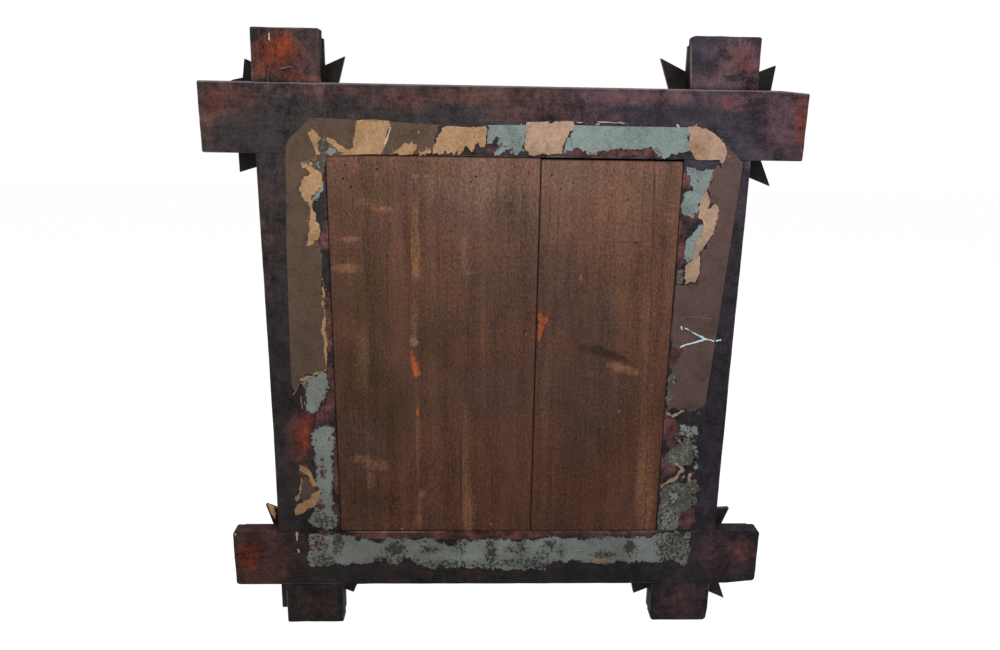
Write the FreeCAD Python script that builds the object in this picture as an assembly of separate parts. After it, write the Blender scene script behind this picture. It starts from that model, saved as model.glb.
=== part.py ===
import FreeCAD, Part
import math
import os

# Cross-corner mirror frame in layered, notch-carved wood.
# Millimetres. +X is to the right of someone facing the glass, +Y points to the wall, +Z is up.
# The origin is the middle of the frame on its back plane.

# Bars and the opening between them
opening_width = 365.0
opening_height = 423.0
bar_width = 69.0
bar_thickness = 18.0
rail_overhang = 53.5
stile_overhang = 50.5
bar_corner = 2.5
eased_edge = 1.2
lap_clearance = 0.1

# Facings that cover the front of the bars and hold the glass with their lip
facing_thickness = 6.0
facing_setback = 8.0
facing_lip = 9.0
facing_joint = 0.2
rail_end_inset = 3.0
right_facing_skew = 7.0

# Notch carving along the sides and on the bar ends, with a plain land at each end of an edge
side_notch_pitch = 9.0
side_notch_depth = 4.0
side_notch_land = 4.0
end_notch_pitch = 5.0
end_notch_depth = 2.4
end_notch_land = 2.5

# Carved tiers along the four sides
tier_thickness = 6.0
lower_tier_width = 50.0
upper_tier_width = 28.0
upper_tier_setback = 11.0
tier_star_gap = 5.0

# Carved tiers on the bar ends
end_tier_width = 40.0
end_tier_gap = 2.5
end_tier_margin = 3.0
end_cap_width = 24.0
end_cap_setback = 4.5

# Corner stars and the carved bosses on them
star_thickness = 6.0
star_reach_x = 60.0
star_reach_z = 63.0
star_valley = 37.0
small_star_reach = 36.0
small_star_valley = 20.0
lower_star_drop = 5.0
boss_radius = 12.0
boss_rim = 3.0
boss_crown_radius = 4.0
boss_height = 8.0
boss_sides = 8

# Hand-cut points that are longer or shorter than the usual reach, across and upright.
# The key is the star, then the side and the end that the point faces.
uneven_points = {
    ("top_right", -1, 1): (-6.0, -2.0),
    ("top_right", 1, -1): (14.0, -3.0),
    ("top_left", -1, 1): (14.0, 3.0),
    ("top_left", 1, 1): (0.0, 2.0),
    ("top_left", -1, -1): (6.0, -1.0),
    ("bottom_right", 1, 1): (-5.0, -2.0),
    ("bottom_left", -1, -1): (2.5, 3.5),
}

# Points of the stars that have broken off: the share that is left of each flank, the
# upright one first. The key is the same.
broken_points = {
    ("top_right", 1, 1): (0.55, 0.77),
    ("top_right", 1, -1): (0.58, 0.79),
    ("top_left", -1, 1): (0.53, 0.80),
    ("bottom_right", 1, -1): (0.45, 0.50),
    ("bottom_right", -1, -1): (0.60, 0.72),
    ("bottom_left", -1, 1): (0.89, 0.70),
    ("bottom_left", 1, -1): (0.72, 0.84),
}

# Glass and backing boards
glass_thickness = 3.0
glass_clearance = 1.0
board_seat = 0.3
board_clearance = 0.5
board_seam_x = -36.0
board_seam_gap = 0.8
narrow_board_gap = 4.0

# Paper dust seal on the back of the bars
paper_thickness = 0.4
side_paper_width = 48.0
top_paper_width = 34.0
bottom_paper_width = 48.0

# Cut nails, square in section
nail_clearance = 0.1
lap_nail_shank = 2.4
lap_nail_head = 5.0
lap_nail_head_height = 1.2
lap_nail_bite = 6.0
lap_nail_offset = 20.0
star_nail_shank = 2.4
star_nail_head = 5.0
star_nail_head_height = 1.2
star_nail_bite = 12.0
clinch_shank = 2.2
clinch_head = 5.0
clinch_head_height = 1.0
clinch_tail = 12.0
clinch_lift = 0.2
clinch_above_rail = 14.0
clinch_inset = {"left": 1.0, "right": 4.0}
brad_shank = 1.8
brad_length = 20.0
brad_inset = 7.0
brad_from_board_edge = 30.0

# Places worked out from the sizes above
half_opening_x = opening_width / 2
half_opening_z = opening_height / 2
crossing_x = half_opening_x + bar_width / 2
crossing_z = half_opening_z + bar_width / 2
half_bar = bar_width / 2
half_rail = half_opening_x + bar_width + rail_overhang
half_stile = half_opening_z + bar_width + stile_overhang
facing_back = -bar_thickness
tier_back = facing_back - facing_thickness
upper_back = tier_back - tier_thickness
small_star_back = tier_back - star_thickness
boss_back = small_star_back - star_thickness
stile_facing_end = half_stile - facing_setback
rail_facing_end = half_rail - facing_setback
clinch_z = half_opening_z + bar_width + clinch_above_rail
side_notch = (side_notch_pitch, side_notch_depth, side_notch_land)
end_notch = (end_notch_pitch, end_notch_depth, end_notch_land)

sides = {"left": -1, "right": 1}
ends = {"bottom": -1, "top": 1}
pieces = {}


def block(x_range, y_range, z_range):
    """Box between two limits on each axis."""
    low = FreeCAD.Vector(x_range[0], y_range[0], z_range[0])
    return Part.makeBox(x_range[1] - x_range[0], y_range[1] - y_range[0], z_range[1] - z_range[0], low)


def peg(x, z, half, y_range):
    """Square peg along Y."""
    return block((x - half, x + half), y_range, (z - half, z + half))


def plate(outline, back, thickness):
    """Flat piece with an (x, z) outline, its back face at y = back, thickening towards the front."""
    points = [FreeCAD.Vector(x, back, z) for x, z in outline]
    face = Part.Face(Part.makePolygon(points + points[:1]))
    return face.extrude(FreeCAD.Vector(0, -thickness, 0))


def carved_edge(start, end, notch):
    """Points from start towards end with V notches cut in on the left of the way.

    An edge too short for a single notch stays plain.
    """
    pitch, depth, land = notch
    run_x = end[0] - start[0]
    run_z = end[1] - start[1]
    length = abs(run_x) + abs(run_z)
    along = (run_x / length, run_z / length)
    carved = length - 2 * land
    count = round(carved / pitch)
    if count < 1:
        return [start]
    step = carved / count

    def point(distance, inwards):
        return (start[0] + along[0] * distance - along[1] * inwards,
                start[1] + along[1] * distance + along[0] * inwards)

    points = [start]
    for i in range(count):
        points.append(point(land + i * step, 0))
        points.append(point(land + (i + 0.5) * step, depth))
    points.append(point(length - land, 0))
    return points


def carved_rectangle(centre, half_x, half_z, notch):
    """Outline of a rectangle with all four edges notched."""
    x, z = centre
    corners = [(x - half_x, z - half_z), (x + half_x, z - half_z)]
    corners += [(x + half_x, z + half_z), (x - half_x, z + half_z)]
    outline = []
    for i, corner in enumerate(corners):
        outline += carved_edge(corner, corners[(i + 1) % 4], notch)
    return outline


def star_outline(centre, reach_x, reach_z, valley, uneven, broken):
    """Four-pointed star with its points on the diagonals, less what has broken off them."""
    outline = []
    for side, end in ((1, 1), (-1, 1), (-1, -1), (1, -1)):
        longer = uneven.get((side, end), (0, 0))
        tip = (side * (reach_x + longer[0]), end * (reach_z + longer[1]))
        beside = (side * valley, 0)
        beyond = (0, end * valley)
        point = [tip]
        if (side, end) in broken:
            upright_share, level_share = broken[(side, end)]
            upright = [beside[i] + upright_share * (tip[i] - beside[i]) for i in (0, 1)]
            level = [beyond[i] + level_share * (tip[i] - beyond[i]) for i in (0, 1)]
            point = [upright, level]
        if side * end > 0:
            outline += [beside] + point
        else:
            outline += [beyond] + point[::-1]
    return [(centre[0] + x, centre[1] + z) for x, z in outline]


def stile_facing_edge(side, z):
    """Outer edge of a stile facing. The right one is nailed on askew, so it stands out lower down."""
    skew = right_facing_skew if side > 0 else 0
    return half_opening_x + bar_width + skew * (stile_facing_end - z) / (2 * stile_facing_end)


def cut_nail(x, front, z, shank, length, head, head_height, spare):
    """Square nail driven from the front along +Y, or its hole when spare is more than nothing."""
    body = peg(x, z, shank / 2 + spare, (front, front + length + spare))
    top = peg(x, z, head / 2 + spare, (front, front + head_height + spare))
    return body.fuse(top).removeSplitter()


def clinched_nail(x, z, tail_side, spare):
    """Nail through facing and bar whose end is bent over flat on the back, or its hole."""
    half = clinch_shank / 2 + spare
    front = tier_back
    outer = x - tail_side * half
    inner = x + tail_side * half
    back = clinch_lift + clinch_shank
    tip = x + tail_side * clinch_tail
    tail = clinch_lift + clinch_shank / 2
    profile = [(outer, front), (outer, tail), (x, back), (tip, tail)]
    profile += [(tip, clinch_lift), (inner, clinch_lift), (inner, front)]
    points = [FreeCAD.Vector(px, py, z - half) for px, py in profile]
    shank = Part.Face(Part.makePolygon(points + points[:1])).extrude(FreeCAD.Vector(0, 0, 2 * half))
    head = peg(x, z, clinch_head / 2, (front - clinch_head_height, front))
    return shank.fuse(head).removeSplitter()


def slanted_brad(x, z, end, spare):
    """Brad driven aslant from the back of a board end into the rail beside it, or its hole."""
    side = brad_shank + 2 * spare
    brad = Part.makeBox(side, side, brad_length + 2 * spare, FreeCAD.Vector(-side / 2, -side / 2, -spare))
    brad.rotate(FreeCAD.Vector(0, 0, 0), FreeCAD.Vector(1, 0, 0), 45 if end > 0 else 135)
    brad.translate(FreeCAD.Vector(x, -brad_shank, z))
    return brad


def bar(half_x, half_z, x, z):
    """Straight bar with its four corners blunted and its back edges eased."""
    blank = block((x - half_x, x + half_x), (-bar_thickness, 0), (z - half_z, z + half_z))
    corners = [e for e in blank.Edges if abs(e.Vertexes[0].Y - e.Vertexes[1].Y) > bar_thickness / 2]
    blank = blank.makeChamfer(bar_corner, corners)
    back_edges = [e for e in blank.Edges if all(abs(v.Y) < lap_clearance for v in e.Vertexes)]
    return blank.makeChamfer(eased_edge, back_edges)


def octagon(centre, radius, y):
    """Closed ring of straight edges about a centre in the plane of the frame."""
    points = []
    for i in range(boss_sides + 1):
        angle = 2 * math.pi * (i + 0.5) / boss_sides
        x = centre[0] + radius * math.cos(angle)
        z = centre[1] + radius * math.sin(angle)
        points.append(FreeCAD.Vector(x, y, z))
    return Part.makePolygon(points)


def cut_all(shape, tools):
    """The shape less every tool."""
    for tool in tools:
        shape = shape.cut(tool)
    return shape


# Corners, each with its crossing and the centre of its star
corners = {}
for side_name, side in sides.items():
    for end_name, end in ends.items():
        drop = lower_star_drop if end < 0 else 0
        crossing = (side * crossing_x, end * crossing_z)
        corners[end_name + "_" + side_name] = (crossing, (crossing[0], crossing[1] - drop))

# Nails and their holes at each corner
lap_nail_length = bar_thickness / 2 + lap_nail_bite
star_nail_length = 2 * star_thickness + facing_thickness + star_nail_bite
lap_nails = []
lap_holes = []
star_nails = []
star_holes = []
for crossing, centre in corners.values():
    size = (lap_nail_shank, lap_nail_length, lap_nail_head, lap_nail_head_height)
    for slant in (-1, 1):
        place = (crossing[0] + slant * lap_nail_offset, facing_back, crossing[1] + slant * lap_nail_offset)
        lap_nails.append(cut_nail(*place, *size, 0))
        lap_holes.append(cut_nail(*place, *size, nail_clearance))
    size = (star_nail_shank, star_nail_length, star_nail_head, star_nail_head_height)
    place = (centre[0], boss_back, centre[1])
    star_nails.append(cut_nail(*place, *size, 0))
    star_holes.append(cut_nail(*place, *size, nail_clearance))
pieces["lap_nails"] = Part.makeCompound(lap_nails)
pieces["star_nails"] = Part.makeCompound(star_nails)

# Clinched nails through the upper stubs, a little inside the middle, their tails bent outwards
clinched = []
clinch_holes = []
for side_name, side in sides.items():
    x = side * (crossing_x - clinch_inset[side_name])
    clinched.append(clinched_nail(x, clinch_z, side, 0))
    clinch_holes.append(clinched_nail(x, clinch_z, side, nail_clearance))
pieces["clinched_nails"] = Part.makeCompound(clinched)

# Backing boards, flush with the back of the bars, and the brads at their ends
board_thickness = bar_thickness - glass_thickness - board_seat
board_end = half_opening_z - board_clearance
board_spans = {
    "wide_backing_board": (board_seam_x + board_seam_gap / 2, half_opening_x - board_clearance, board_end),
    "narrow_backing_board": (board_clearance - half_opening_x, board_seam_x - board_seam_gap / 2,
                             half_opening_z - narrow_board_gap),
}
brads = []
brad_holes = []
for low, high, top in board_spans.values():
    for x in (low + brad_from_board_edge, high - brad_from_board_edge):
        for z, end in ((top - brad_inset, 1), (brad_inset - board_end, -1)):
            brads.append(slanted_brad(x, z, end, 0))
            brad_holes.append(slanted_brad(x, z, end, nail_clearance))
pieces["board_brads"] = Part.makeCompound(brads)
for name, (low, high, top) in board_spans.items():
    board = block((low, high), (-board_thickness, 0), (-board_end, top))
    pieces[name] = cut_all(board, brad_holes)

# Bars: each rail is halved at the front and each stile at the back, so that they cross flush
lap_half = half_bar + lap_clearance
for end_name, end in ends.items():
    rail = bar(half_rail, half_bar, 0, end * crossing_z)
    for side in sides.values():
        x = side * crossing_x
        across = (end * crossing_z - bar_width, end * crossing_z + bar_width)
        rail = rail.cut(block((x - lap_half, x + lap_half), (-bar_thickness, -bar_thickness / 2), across))
    pieces[end_name + "_rail"] = cut_all(rail, lap_holes + star_holes + brad_holes)
for side_name, side in sides.items():
    stile = bar(half_bar, half_stile, side * crossing_x, 0)
    for end in ends.values():
        z = end * crossing_z
        across = (side * crossing_x - bar_width, side * crossing_x + bar_width)
        stile = stile.cut(block(across, (-bar_thickness / 2, bar_thickness), (z - lap_half, z + lap_half)))
    pieces[side_name + "_stile"] = cut_all(stile, lap_holes + star_holes + clinch_holes)

# Stile facings: plain outside, with a notched lip over the edge of the glass
lip_end = half_opening_z - facing_lip - facing_joint
for side_name, side in sides.items():
    inner = half_opening_x
    lip = half_opening_x - facing_lip
    outline = [(stile_facing_edge(side, z), z) for z in (-stile_facing_end, stile_facing_end)]
    outline += [(inner, stile_facing_end), (inner, lip_end)]
    outline += carved_edge((lip, lip_end), (lip, -lip_end), side_notch) + [(lip, -lip_end)]
    outline += [(inner, -lip_end), (inner, -stile_facing_end)]
    facing = plate([(side * x, z) for x, z in outline], facing_back, facing_thickness)
    pieces[side_name + "_facing"] = cut_all(facing, star_holes + clinch_holes)

# Rail facings between the stile facings, and the short ones on the rail ends
for end_name, end in ends.items():
    half = half_opening_x - facing_joint
    lip = half_opening_z - facing_lip
    outline = carved_edge((-half, lip), (half, lip), side_notch)
    outline += [(half, lip), (half, half_opening_z + bar_width), (-half, half_opening_z + bar_width)]
    facing = plate([(x, end * z) for x, z in outline], facing_back, facing_thickness)
    pieces[end_name + "_facing"] = facing
    for side_name, side in sides.items():
        low = end * crossing_z - half_bar + rail_end_inset
        high = end * crossing_z + half_bar - rail_end_inset
        outline = [(rail_facing_end, low), (rail_facing_end, high)]
        outline += [(stile_facing_edge(side, z) + facing_joint, z) for z in (high, low)]
        name = end_name + "_" + side_name + "_rail_end_facing"
        pieces[name] = plate([(side * x, z) for x, z in outline], facing_back, facing_thickness)

# Carved tiers along the sides, the upper one smaller all round
stile_tier_half = crossing_z - star_reach_z - tier_star_gap
rail_tier_half = crossing_x - star_reach_x - tier_star_gap
tiers = {
    "lower": (0, lower_tier_width / 2, tier_back),
    "upper": (upper_tier_setback, upper_tier_width / 2, upper_back),
}
for tier_name, (setback, half_width, back) in tiers.items():
    for side_name, side in sides.items():
        outline = carved_rectangle((side * crossing_x, 0), half_width, stile_tier_half - setback, side_notch)
        pieces[side_name + "_" + tier_name + "_tier"] = plate(outline, back, tier_thickness)
    for end_name, end in ends.items():
        outline = carved_rectangle((0, end * crossing_z), rail_tier_half - setback, half_width, side_notch)
        pieces[end_name + "_" + tier_name + "_tier"] = plate(outline, back, tier_thickness)

# Carved tier and cap on each bar end, outside the head of the clinched nail
tier_start = bar_width + clinch_above_rail + clinch_head / 2 + end_tier_gap
stile_start = half_opening_z + tier_start
rail_start = half_opening_x + tier_start
stile_stop = stile_facing_end - end_tier_margin
rail_stop = rail_facing_end - end_tier_margin
steps = {
    "tier": (end_tier_width / 2, 0, tier_back),
    "cap": (end_cap_width / 2, end_cap_setback, upper_back),
}
for step_name, (half_width, setback, back) in steps.items():
    for side_name, side in sides.items():
        for end_name, end in ends.items():
            middle = (side * crossing_x, end * (stile_start + stile_stop) / 2)
            half_length = (stile_stop - stile_start) / 2 - setback
            outline = carved_rectangle(middle, half_width, half_length, end_notch)
            name = side_name + "_stile_" + end_name + "_end_" + step_name
            pieces[name] = plate(outline, back, tier_thickness)
            middle = (side * (rail_start + rail_stop) / 2, end * crossing_z)
            half_length = (rail_stop - rail_start) / 2 - setback
            outline = carved_rectangle(middle, half_length, half_width, end_notch)
            name = end_name + "_rail_" + side_name + "_end_" + step_name
            pieces[name] = plate(outline, back, tier_thickness)

# Star, small star and eight-sided boss on each corner
for corner, (crossing, centre) in corners.items():
    uneven = {key[1:]: longer for key, longer in uneven_points.items() if key[0] == corner}
    broken = {key[1:]: shares for key, shares in broken_points.items() if key[0] == corner}
    outline = star_outline(centre, star_reach_x, star_reach_z, star_valley, uneven, broken)
    pieces[corner + "_star"] = cut_all(plate(outline, tier_back, star_thickness), star_holes)
    outline = star_outline(centre, small_star_reach, small_star_reach, small_star_valley, {}, {})
    pieces[corner + "_small_star"] = cut_all(plate(outline, small_star_back, star_thickness), star_holes)
    rings = [octagon(centre, boss_radius, boss_back), octagon(centre, boss_radius, boss_back - boss_rim)]
    rings.append(octagon(centre, boss_crown_radius, boss_back - boss_height))
    pieces[corner + "_boss"] = Part.makeLoft(rings, True, True)

# Mirror glass against the lip of the facings
glass_x = half_opening_x - glass_clearance
glass_z = half_opening_z - glass_clearance
glass_y = (facing_back, facing_back + glass_thickness)
pieces["mirror_glass"] = block((-glass_x, glass_x), glass_y, (-glass_z, glass_z))

# Paper strips around the opening, mitred at the upper corners
paper_x = half_opening_x + eased_edge
paper_z = half_opening_z + eased_edge
paper_outer = half_opening_x + side_paper_width
paper_top = half_opening_z + top_paper_width
paper_bottom = half_opening_z + bottom_paper_width
mitre = paper_outer - (paper_top - paper_z)
strips = {
    "top_paper": [(-paper_outer, paper_z), (paper_outer, paper_z), (mitre, paper_top), (-mitre, paper_top)],
    "bottom_paper": [(-paper_outer, -paper_bottom), (paper_outer, -paper_bottom), (paper_outer, -paper_z),
                     (-paper_outer, -paper_z)],
}
for side_name, side in sides.items():
    strips[side_name + "_paper"] = [(side * paper_x, -half_opening_z), (side * paper_outer, -half_opening_z),
                                    (side * paper_outer, half_opening_z), (side * paper_x, half_opening_z)]
for name, outline in strips.items():
    pieces[name] = plate(outline, paper_thickness, paper_thickness)

os.makedirs("parts", exist_ok=True)
for name, shape in pieces.items():
    shape.exportStep("parts/" + name + ".step")
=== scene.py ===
"""Looks of a cross-corner carved mirror seen from its back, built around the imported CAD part."""

import math
import random

import bmesh
import bpy
import numpy as np
from mathutils import Matrix, Vector, geometry, noise


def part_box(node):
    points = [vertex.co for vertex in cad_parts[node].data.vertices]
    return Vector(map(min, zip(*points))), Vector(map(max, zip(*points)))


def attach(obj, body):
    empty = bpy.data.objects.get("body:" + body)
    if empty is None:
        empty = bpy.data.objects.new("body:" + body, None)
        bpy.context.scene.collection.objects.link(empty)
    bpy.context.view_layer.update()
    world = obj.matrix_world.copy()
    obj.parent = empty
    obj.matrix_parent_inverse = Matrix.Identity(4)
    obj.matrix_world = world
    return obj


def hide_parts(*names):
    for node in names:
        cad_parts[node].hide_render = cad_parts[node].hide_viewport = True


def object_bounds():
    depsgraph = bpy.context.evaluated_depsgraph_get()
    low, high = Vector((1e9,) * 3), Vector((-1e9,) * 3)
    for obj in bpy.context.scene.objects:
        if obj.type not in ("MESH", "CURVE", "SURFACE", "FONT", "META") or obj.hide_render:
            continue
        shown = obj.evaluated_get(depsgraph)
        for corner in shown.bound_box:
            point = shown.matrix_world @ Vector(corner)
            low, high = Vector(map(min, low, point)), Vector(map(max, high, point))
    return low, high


bl_info = {
    "name": "Carved cross-corner mirror",
    "version": (1, 0, 0),
    "blender": (4, 5, 0),
    "location": "View3D > Sidebar > Mirror",
    "description": "Builds the worn bars, boards, torn paper and carved front of the mirror",
    "category": "Add Mesh",
}

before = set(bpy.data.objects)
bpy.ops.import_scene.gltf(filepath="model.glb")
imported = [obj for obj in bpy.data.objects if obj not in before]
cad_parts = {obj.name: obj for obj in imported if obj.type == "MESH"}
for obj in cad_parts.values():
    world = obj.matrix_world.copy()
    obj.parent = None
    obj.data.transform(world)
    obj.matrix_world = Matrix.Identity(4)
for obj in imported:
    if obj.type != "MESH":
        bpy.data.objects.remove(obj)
CAD_LOW, CAD_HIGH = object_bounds()
MM = 0.001

# The camera of the photo: its place, its three axes and its focal length in pixels
PHOTO_WIDTH = 1000
PHOTO_HEIGHT = 650
FOCAL_PIXELS = 773.5
SENSOR_MM = 36.0
EYE = Vector((0.0319, 0.8007, 0.2491))
EYE_RIGHT = Vector((-0.99937, 0.03145, 0.01632))
EYE_UP = Vector((0.00764, -0.25834, 0.96602))
EYE_BACK = Vector((0.03459, 0.96554, 0.25793))


def on_back(px, py, height=0.0):
    """Place (x, z) on the plane y = height that the photo shows at pixel px, py."""
    across = (px - PHOTO_WIDTH / 2) / FOCAL_PIXELS
    down = (py - PHOTO_HEIGHT / 2) / FOCAL_PIXELS
    ray = EYE_RIGHT * across - EYE_UP * down - EYE_BACK
    reach = (height - EYE.y) / ray.y
    hit = EYE + ray * reach
    return hit.x, hit.z


def pixels_of(points):
    """Photo pixels of an array of places, one row each."""
    away = points - np.array(EYE)
    depth = -away @ np.array(EYE_BACK)
    px = PHOTO_WIDTH / 2 + FOCAL_PIXELS * (away @ np.array(EYE_RIGHT)) / depth
    py = PHOTO_HEIGHT / 2 - FOCAL_PIXELS * (away @ np.array(EYE_UP)) / depth
    return px, py


def millimetres(name, description, value):
    """A length property with its name, description and default in millimetres."""
    return bpy.props.FloatProperty(name=name, description=description, default=value * MM, unit="LENGTH")


def colour(name, description, value):
    """A colour property with its name, description and default."""
    return bpy.props.FloatVectorProperty(
        name=name, description=description, default=value, size=3, min=0.0, max=1.0, subtype="COLOR")


class MirrorSizes(bpy.types.PropertyGroup):
    """Sizes of the worn and carved details."""

    arris_round: millimetres("Arris rounding", "Usual rounding of the bar edges", 0.8)
    arris_wear: millimetres("Arris wear", "Further rounding where the edges are worn", 1.7)
    bar_dents: millimetres("Bar dents", "Depth of the hollows in the bar faces", 0.4)
    bar_cell: millimetres("Bar cell", "Mesh spacing along the bars", 3.2)
    grain_depth: millimetres("Grain depth", "Depth of the weathered board grain", 0.45)
    worm_hole: millimetres("Worm hole", "Diameter of the worm holes in the boards", 1.9)
    paper_tear: millimetres("Paper tear", "How far a torn paper edge strays", 1.5)
    paper_curl: millimetres("Paper curl", "How far loose paper edges lift", 0.7)
    notch_slant: bpy.props.FloatProperty(
        name="Notch slant", description="Lean of the knife cuts in the carved edges",
        default=math.radians(20), subtype="ANGLE")
    carved_bevel: millimetres("Carved bevel", "Softening of the carved edges", 0.5)


class MirrorColours(bpy.types.PropertyGroup):
    """Colours of the finishes."""

    bar_dark: colour("Bar dark", "Slate grey stain of the bars", (0.043, 0.035, 0.036))
    bar_mid: colour("Bar mid", "Thin stain of the bars", (0.098, 0.048, 0.042))
    bar_red: colour("Bar red", "Red wood where the stain is worn", (0.150, 0.034, 0.020))
    # Bar pale serves the rubbed wear and also the painted highlight along the top edges
    bar_pale: colour("Bar pale", "Rubbed arrises and scratches", (0.240, 0.185, 0.185))
    # The boards under the painted light at their top and in the painted shade at their bottom
    board_lit: colour("Board light", "Boards at the top", (0.225, 0.114, 0.076))
    board_shaded: colour("Board dark", "Boards at the bottom", (0.084, 0.035, 0.022))
    board_orange: colour("Board orange", "Resin streaks of the boards", (0.360, 0.095, 0.030))
    paper_brown: colour("Paper brown", "Dirty face of the paper", (0.102, 0.066, 0.047))
    paper_tan: colour("Paper tan", "Torn core of the paper", (0.375, 0.222, 0.116))
    paper_green: colour("Paper green", "First ply of the paper", (0.185, 0.220, 0.205))
    carved: colour("Carved wood", "Stain of the carved front", (0.045, 0.023, 0.015))
    carved_light: colour("Carved light", "Stain rubbed thin on the carving", (0.145, 0.068, 0.034))
    iron: colour("Iron", "Dull iron of the nails", (0.120, 0.105, 0.100))


def sizes():
    """The sizes kept in the scene."""
    return bpy.context.scene.mirror_sizes


def colours():
    """The colours kept in the scene."""
    return bpy.context.scene.mirror_colours


class Value:
    """A socket of a node tree that takes plain arithmetic."""

    def __init__(self, tree, socket):
        self.tree = tree
        self.socket = socket

    def math(self, operation, *others, clamp=False):
        """One Math node of this socket and others."""
        settings = {"operation": operation, "use_clamp": clamp}
        node = self.tree.node("ShaderNodeMath", settings, dict(enumerate((self,) + others)))
        return Value(self.tree, node.outputs[0])

    def __add__(self, other):
        return self.math("ADD", other)

    def __sub__(self, other):
        return self.math("SUBTRACT", other)

    def __mul__(self, other):
        return self.math("MULTIPLY", other)

    def __truediv__(self, other):
        return self.math("DIVIDE", other)

    def __pow__(self, other):
        return self.math("POWER", other)

    def after(self, operation, first):
        """One Math node of a plain value and this socket, in that order."""
        node = self.tree.node("ShaderNodeMath", {"operation": operation}, {0: first, 1: self})
        return Value(self.tree, node.outputs[0])

    def __radd__(self, other):
        return self.after("ADD", other)

    def __rsub__(self, other):
        return self.after("SUBTRACT", other)

    def __rmul__(self, other):
        return self.after("MULTIPLY", other)

    def __rtruediv__(self, other):
        return self.after("DIVIDE", other)

    def __rpow__(self, other):
        return self.after("POWER", other)

    def step(self, low, high):
        """Smooth rise from 0 at low to 1 at high."""
        settings = {"interpolation_type": "SMOOTHSTEP"}
        node = self.tree.node("ShaderNodeMapRange", settings, {0: self, 1: low, 2: high})
        return Value(self.tree, node.outputs[0])

    def clamp(self):
        """Kept between 0 and 1."""
        return self.math("ADD", 0.0, clamp=True)


class Tree:
    """A node tree, emptied, and the one way its nodes are made."""

    def __init__(self, tree):
        self.nodes = tree.nodes
        self.links = tree.links
        self.nodes.clear()

    def node(self, kind, settings, sockets):
        """A node of a kind with its settings and its socket values or links."""
        made = self.nodes.new(kind)
        for key, value in settings.items():
            setattr(made, key, value)
        for key, value in sockets.items():
            self.plug(made.inputs[key], value)
        return made

    def plug(self, socket, value):
        """Links a socket or sets its plain value."""
        if isinstance(value, Value):
            value = value.socket
        if isinstance(value, bpy.types.NodeSocket):
            self.links.new(value, socket)
        elif hasattr(value, "__len__") and len(value) == 3 and socket.type == "RGBA":
            socket.default_value = (*value, 1.0)
        else:
            socket.default_value = value


class Finish(Tree):
    """A material and the few ways its shader is put together."""

    def __init__(self, name):
        self.material = bpy.data.materials.new(name)
        self.material.use_nodes = True
        super().__init__(self.material.node_tree)
        self.coords = self.node("ShaderNodeTexCoord", {}, {}).outputs["Object"]

    def stretched(self, scale):
        """Object coordinates scaled evenly or per axis."""
        each = scale if isinstance(scale, tuple) else (scale, scale, scale)
        made = self.node("ShaderNodeVectorMath", {"operation": "MULTIPLY"}, {0: self.coords, 1: each})
        return made.outputs[0]

    def noise(self, scale, detail=4.0, roughness=0.55, warp=0.0):
        """Noise in Object coordinates scaled evenly or per axis, from 0 to 1."""
        sockets = {"Vector": self.stretched(scale), "Scale": 1.0, "Detail": detail, "Roughness": roughness,
                   "Distortion": warp}
        return Value(self, self.node("ShaderNodeTexNoise", {}, sockets).outputs[0])

    def attribute(self, name):
        """A named value painted on the mesh."""
        return Value(self, self.node("ShaderNodeAttribute", {"attribute_name": name}, {}).outputs["Fac"])

    def frayed(self, name, ragged, low, high):
        """A painted value with a ragged edge, from 0 at low to 1 at high."""
        return (self.attribute(name) + ragged).step(low, high)

    def mix(self, factor, first, second):
        """Colour between two colours."""
        settings = {"data_type": "RGBA", "clamp_factor": True}
        return self.node("ShaderNodeMix", settings, {0: factor, 6: first, 7: second}).outputs[2]

    def shade(self, amount, tint):
        """A colour times a plain amount."""
        grey = self.node("ShaderNodeCombineColor", {}, {0: amount, 1: amount, 2: amount}).outputs[0]
        settings = {"data_type": "RGBA", "blend_type": "MULTIPLY"}
        return self.node("ShaderNodeMix", settings, {0: 1.0, 6: tint, 7: grey}).outputs[2]

    def close(self, base, roughness, bump=None, strength=0.3, distance=0.0006, constants=None):
        """Surface shader and output."""
        sockets = {"Base Color": base, "Roughness": roughness}
        sockets.update(constants or {})
        if bump is not None:
            values = {"Strength": strength, "Distance": distance, "Height": bump}
            sockets["Normal"] = self.node("ShaderNodeBump", {}, values).outputs[0]
        surface = self.node("ShaderNodeBsdfPrincipled", {}, sockets)
        self.node("ShaderNodeOutputMaterial", {}, {0: surface.outputs[0]})
        return self.material


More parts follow.
